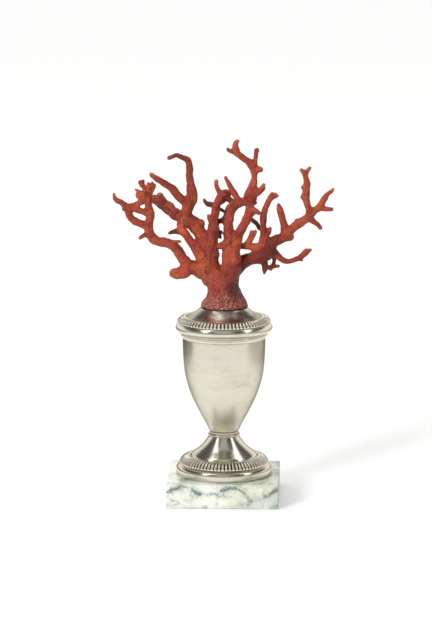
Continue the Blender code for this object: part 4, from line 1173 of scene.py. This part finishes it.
class CORAL_OT_branches(bpy.types.Operator):
    """Make the branching coral"""

    bl_idname = "coral.branches"
    bl_label = "Coral"

    def execute(self, context):
        sizes = context.scene.coral_sizes
        shapes = [branch_shape(name, sizes.knobbliness) for name in BRANCHES]
        skin, rough, edges = fused(*joined([stem_shape(), *shapes]), sizes.grain)
        points = with_fillets(skin, rough, edges, sizes.fillet_passes)
        normals = skin_normals(skin, points)
        around, along, tip, radius, dark = nearest_on_branches(points)
        up = points[:, 2] - CORAL_BOTTOM
        lift = surface_relief(points, around, along, radius, crust_share(points, up), sizes)
        # Painted shade: how far the fillets moved each point marks the hollows that are drawn darker
        painted_hollow_shade = np.clip(np.linalg.norm(points - rough, axis=1) / 1.1 - 0.12, 0, 1)
        # Painted shade on the stem's right side, away from the light
        dark = np.maximum(dark, stem_side_shade(points, up))
        for step in range(4):
            painted_hollow_shade, dark = neighbour_mean(painted_hollow_shade, edges), neighbour_mean(dark, edges)
        low, high = (np.array(corner) / MM for corner in SOLIDS_BOX)
        low[2] = LID_TOP + GAP_OVER_LID
        points = np.clip(points + lift[:, None] * normals, low, high)
        skin.name = "coral"
        skin.vertices.foreach_set("co", (points * MM).ravel())
        skin.update()
        skin.shade_smooth()
        keep(skin, "grain", "FLOAT_VECTOR", np.column_stack([around, along]) * MM)
        keep(skin, "painted_hollow_shade", "FLOAT", painted_hollow_shade)
        keep(skin, "tip", "FLOAT", np.exp(-tip / 1.6))
        keep(skin, "dark", "FLOAT", dark)
        show("coral", skin, red_coral(sizes), "coral", *CORAL_NODES)
        return {"FINISHED"}


class CORAL_OT_urn(bpy.types.Operator):
    """Make the turned pieces of the urn and its two chased borders"""

    bl_idname = "coral.urn"
    bl_label = "Silver urn"

    def execute(self, context):
        sizes = context.scene.urn_sizes
        clean, stain = sizes.silver_colour, sizes.tarnish_colour
        polished = old_silver("Polished silver", clean, stain, 0.14, 0.3)
        # The lid's and the satin pieces' darker edge tints are painted shade at their edges
        dulled = old_silver("Dulled silver", clean, GREY_STAIN, 0.2, 0.75, LID_EDGE_SHADE)
        satin = old_silver("Satin silver", clean, stain, 0.2, 0.3, DARK_EDGE_SHADE)
        moulded = old_silver("Moulded silver", clean, stain, 0.14, 0.35)
        # Painted highlight: the borders get a brighter copy of the silver, standing in for their bright
        # reflections
        chased = old_silver("Chased silver", sizes.brightened_border_colour, stain, 0.16, 0.25)
        for name, profile, finish, node in (
                ("urn_foot", FOOT_PROFILE, polished, "foot"),
                ("urn_collar", COLLAR_PROFILE, satin, "stem_collar"),
                ("urn_bowl", BOWL_PROFILE, satin, "bowl"),
                ("urn_rim", RIM_PROFILE, moulded, "rim"),
                ("urn_lid", LID_PROFILE, dulled, "lid")):
            show(name, mesh_from(name, *turned(profile)), finish, "silver", node)
        for name, section, node in (
                ("urn_foot_border", FOOT_BORDER, "foot_border"),
                ("urn_lid_border", LID_BORDER, "lid_border")):
            (vertices, faces), groove = gadroons(section, sizes.lobes, sizes.relief)
            mesh = mesh_from(name, vertices, faces)
            keep(mesh, "groove", "FLOAT", groove)
            show(name, mesh, chased, "silver", node)
        return {"FINISHED"}


class CORAL_OT_plinth(bpy.types.Operator):
    """Make the marble plinth"""

    bl_idname = "coral.plinth"
    bl_label = "Marble plinth"

    def execute(self, context):
        sizes = context.scene.plinth_sizes
        low, high = (np.array(corner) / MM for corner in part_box("plinth"))
        half, thick = (high[0] - low[0]) / 2, high[2] - low[2]
        mesh = mesh_from("plinth_slab", *slab(half, thick, sizes.edge))
        show("plinth_slab", mesh, veined_marble(sizes), "marble", "plinth")
        return {"FINISHED"}


class CORAL_OT_stage(bpy.types.Operator):
    """Make the floor, the studio light and the camera"""

    bl_idname = "coral.stage"
    bl_label = "Studio"

    def execute(self, context):
        scene, sizes = context.scene, context.scene.stage_sizes
        side = FLOOR_SIDE
        corners = [(-side, -side, 0), (side, -side, 0), (side, side, 0), (-side, side, 0)]
        studio_sheet("floor", corners, studio_floor(sizes))
        distant_light("key", sizes.key_power, *KEY)
        distant_light("fill", sizes.fill_power, *FILL)
        for name, (start, end) in CARDS.items():
            side_card(name, start, end)
        for name, (start, end) in STRIPS.items():
            strip_light(name, start, end, sizes)
        scene.world = surroundings(sizes)
        camera = put("camera", bpy.data.cameras.new("camera"))
        camera.data.lens, camera.data.sensor_width = sizes.lens, SENSOR_WIDTH
        camera.location, camera.rotation_euler = CAMERA_PLACE, facing(CAMERA_WAY)
        scene.camera = camera
        scene.view_settings.view_transform = "Standard"
        return {"FINISHED"}


def studio_sheet(name, corners, finish):
    """A flat four-cornered part of the studio."""
    mesh = bpy.data.meshes.new(name)
    mesh.from_pydata(corners, [], [(0, 1, 2, 3)])
    mesh.materials.append(finish)
    thing = put(name, mesh)
    return thing


def side_card(name, start, end):
    """A grey card on the floor beside the urn, seen only as a soft band in the silver."""
    corners = [(*start, 0.0), (*end, 0.0), (*end, CARD_HEIGHT), (*start, CARD_HEIGHT)]
    card = studio_sheet(name, corners, grey_card())
    card.visible_camera = card.visible_diffuse = card.visible_shadow = False


def facing(way):
    """The turn of a light or a camera that points along a way."""
    return Vector(way).to_track_quat("-Z", "Y").to_euler()


def distant_light(name, power, breadth, way):
    """A light from far off that the silver doesn't mirror."""
    lamp = bpy.data.lights.new(name, "SUN")
    lamp.energy, lamp.angle = power, breadth
    thing = put(name, lamp)
    thing.rotation_euler = facing(way)
    thing.visible_glossy = False


def strip_light(name, start, end, sizes):
    """A long, narrow light under the ceiling, from one place to another as seen from above."""
    first, last = Vector((*start, sizes.strip_height)), Vector((*end, sizes.strip_height))
    lamp = bpy.data.lights.new(name, "AREA")
    lamp.shape = "RECTANGLE"
    lamp.size, lamp.size_y = (last - first).length, sizes.strip_width
    lamp.energy = sizes.strip_brightness * np.pi * lamp.size * lamp.size_y
    thing = put(name, lamp)
    thing.location = (first + last) / 2
    thing.rotation_euler = (0.0, 0.0, np.arctan2(last.y - first.y, last.x - first.x))


def surroundings(sizes):
    """A bright backdrop, a dimmer room in front of it and a band of light along the ceiling."""
    world = bpy.data.worlds.new("studio")
    world.use_nodes = True
    room = Nodes(world.node_tree, "Generated")
    band = room.axis("X").magnitude().between(0.42, 0.16)
    ceiling = sizes.ceiling + (sizes.overhead - sizes.ceiling) * band
    back = room.axis("Y").between(-0.1, 0.5)
    walls = sizes.front_wall + (sizes.back_wall - sizes.front_wall) * back
    strength = walls + (ceiling - walls) * room.axis("Z").between(0.42, 0.55)
    background = world.node_tree.nodes["Background"]
    room.tree.links.new(strength.socket, background.inputs["Strength"])
    background.inputs["Color"].default_value = ROOM_COLOUR
    return world


class CORAL_PT_panel(bpy.types.Panel):
    """Lists the settings and the operators that make the pieces"""

    bl_label = "Red coral on an urn"
    bl_space_type = "VIEW_3D"
    bl_region_type = "UI"
    bl_category = "Coral"

    def draw(self, context):
        for group, operator in STEPS:
            sizes = getattr(context.scene, group)
            box = self.layout.box()
            for setting in type(sizes).__annotations__:
                box.prop(sizes, setting)
            box.operator(operator)


STEPS = [
    ("stage_sizes", "coral.stage"), ("plinth_sizes", "coral.plinth"),
    ("urn_sizes", "coral.urn"), ("coral_sizes", "coral.branches"),
]
GROUPS = {
    "coral_sizes": CoralSizes, "urn_sizes": UrnSizes, "plinth_sizes": PlinthSizes,
    "stage_sizes": StageSizes,
}
CLASSES = [
    *GROUPS.values(), CORAL_OT_branches, CORAL_OT_urn, CORAL_OT_plinth, CORAL_OT_stage, CORAL_PT_panel]


def register():
    for part in CLASSES:
        bpy.utils.register_class(part)
    for name, group in GROUPS.items():
        setattr(bpy.types.Scene, name, bpy.props.PointerProperty(type=group))


def unregister():
    for name in GROUPS:
        delattr(bpy.types.Scene, name)
    for part in reversed(CLASSES):
        bpy.utils.unregister_class(part)


def main():
    register()
    bpy.ops.coral.stage()
    bpy.ops.coral.plinth()
    bpy.ops.coral.urn()
    bpy.ops.coral.branches()
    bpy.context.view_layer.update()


if __name__ == "__main__":
    main()
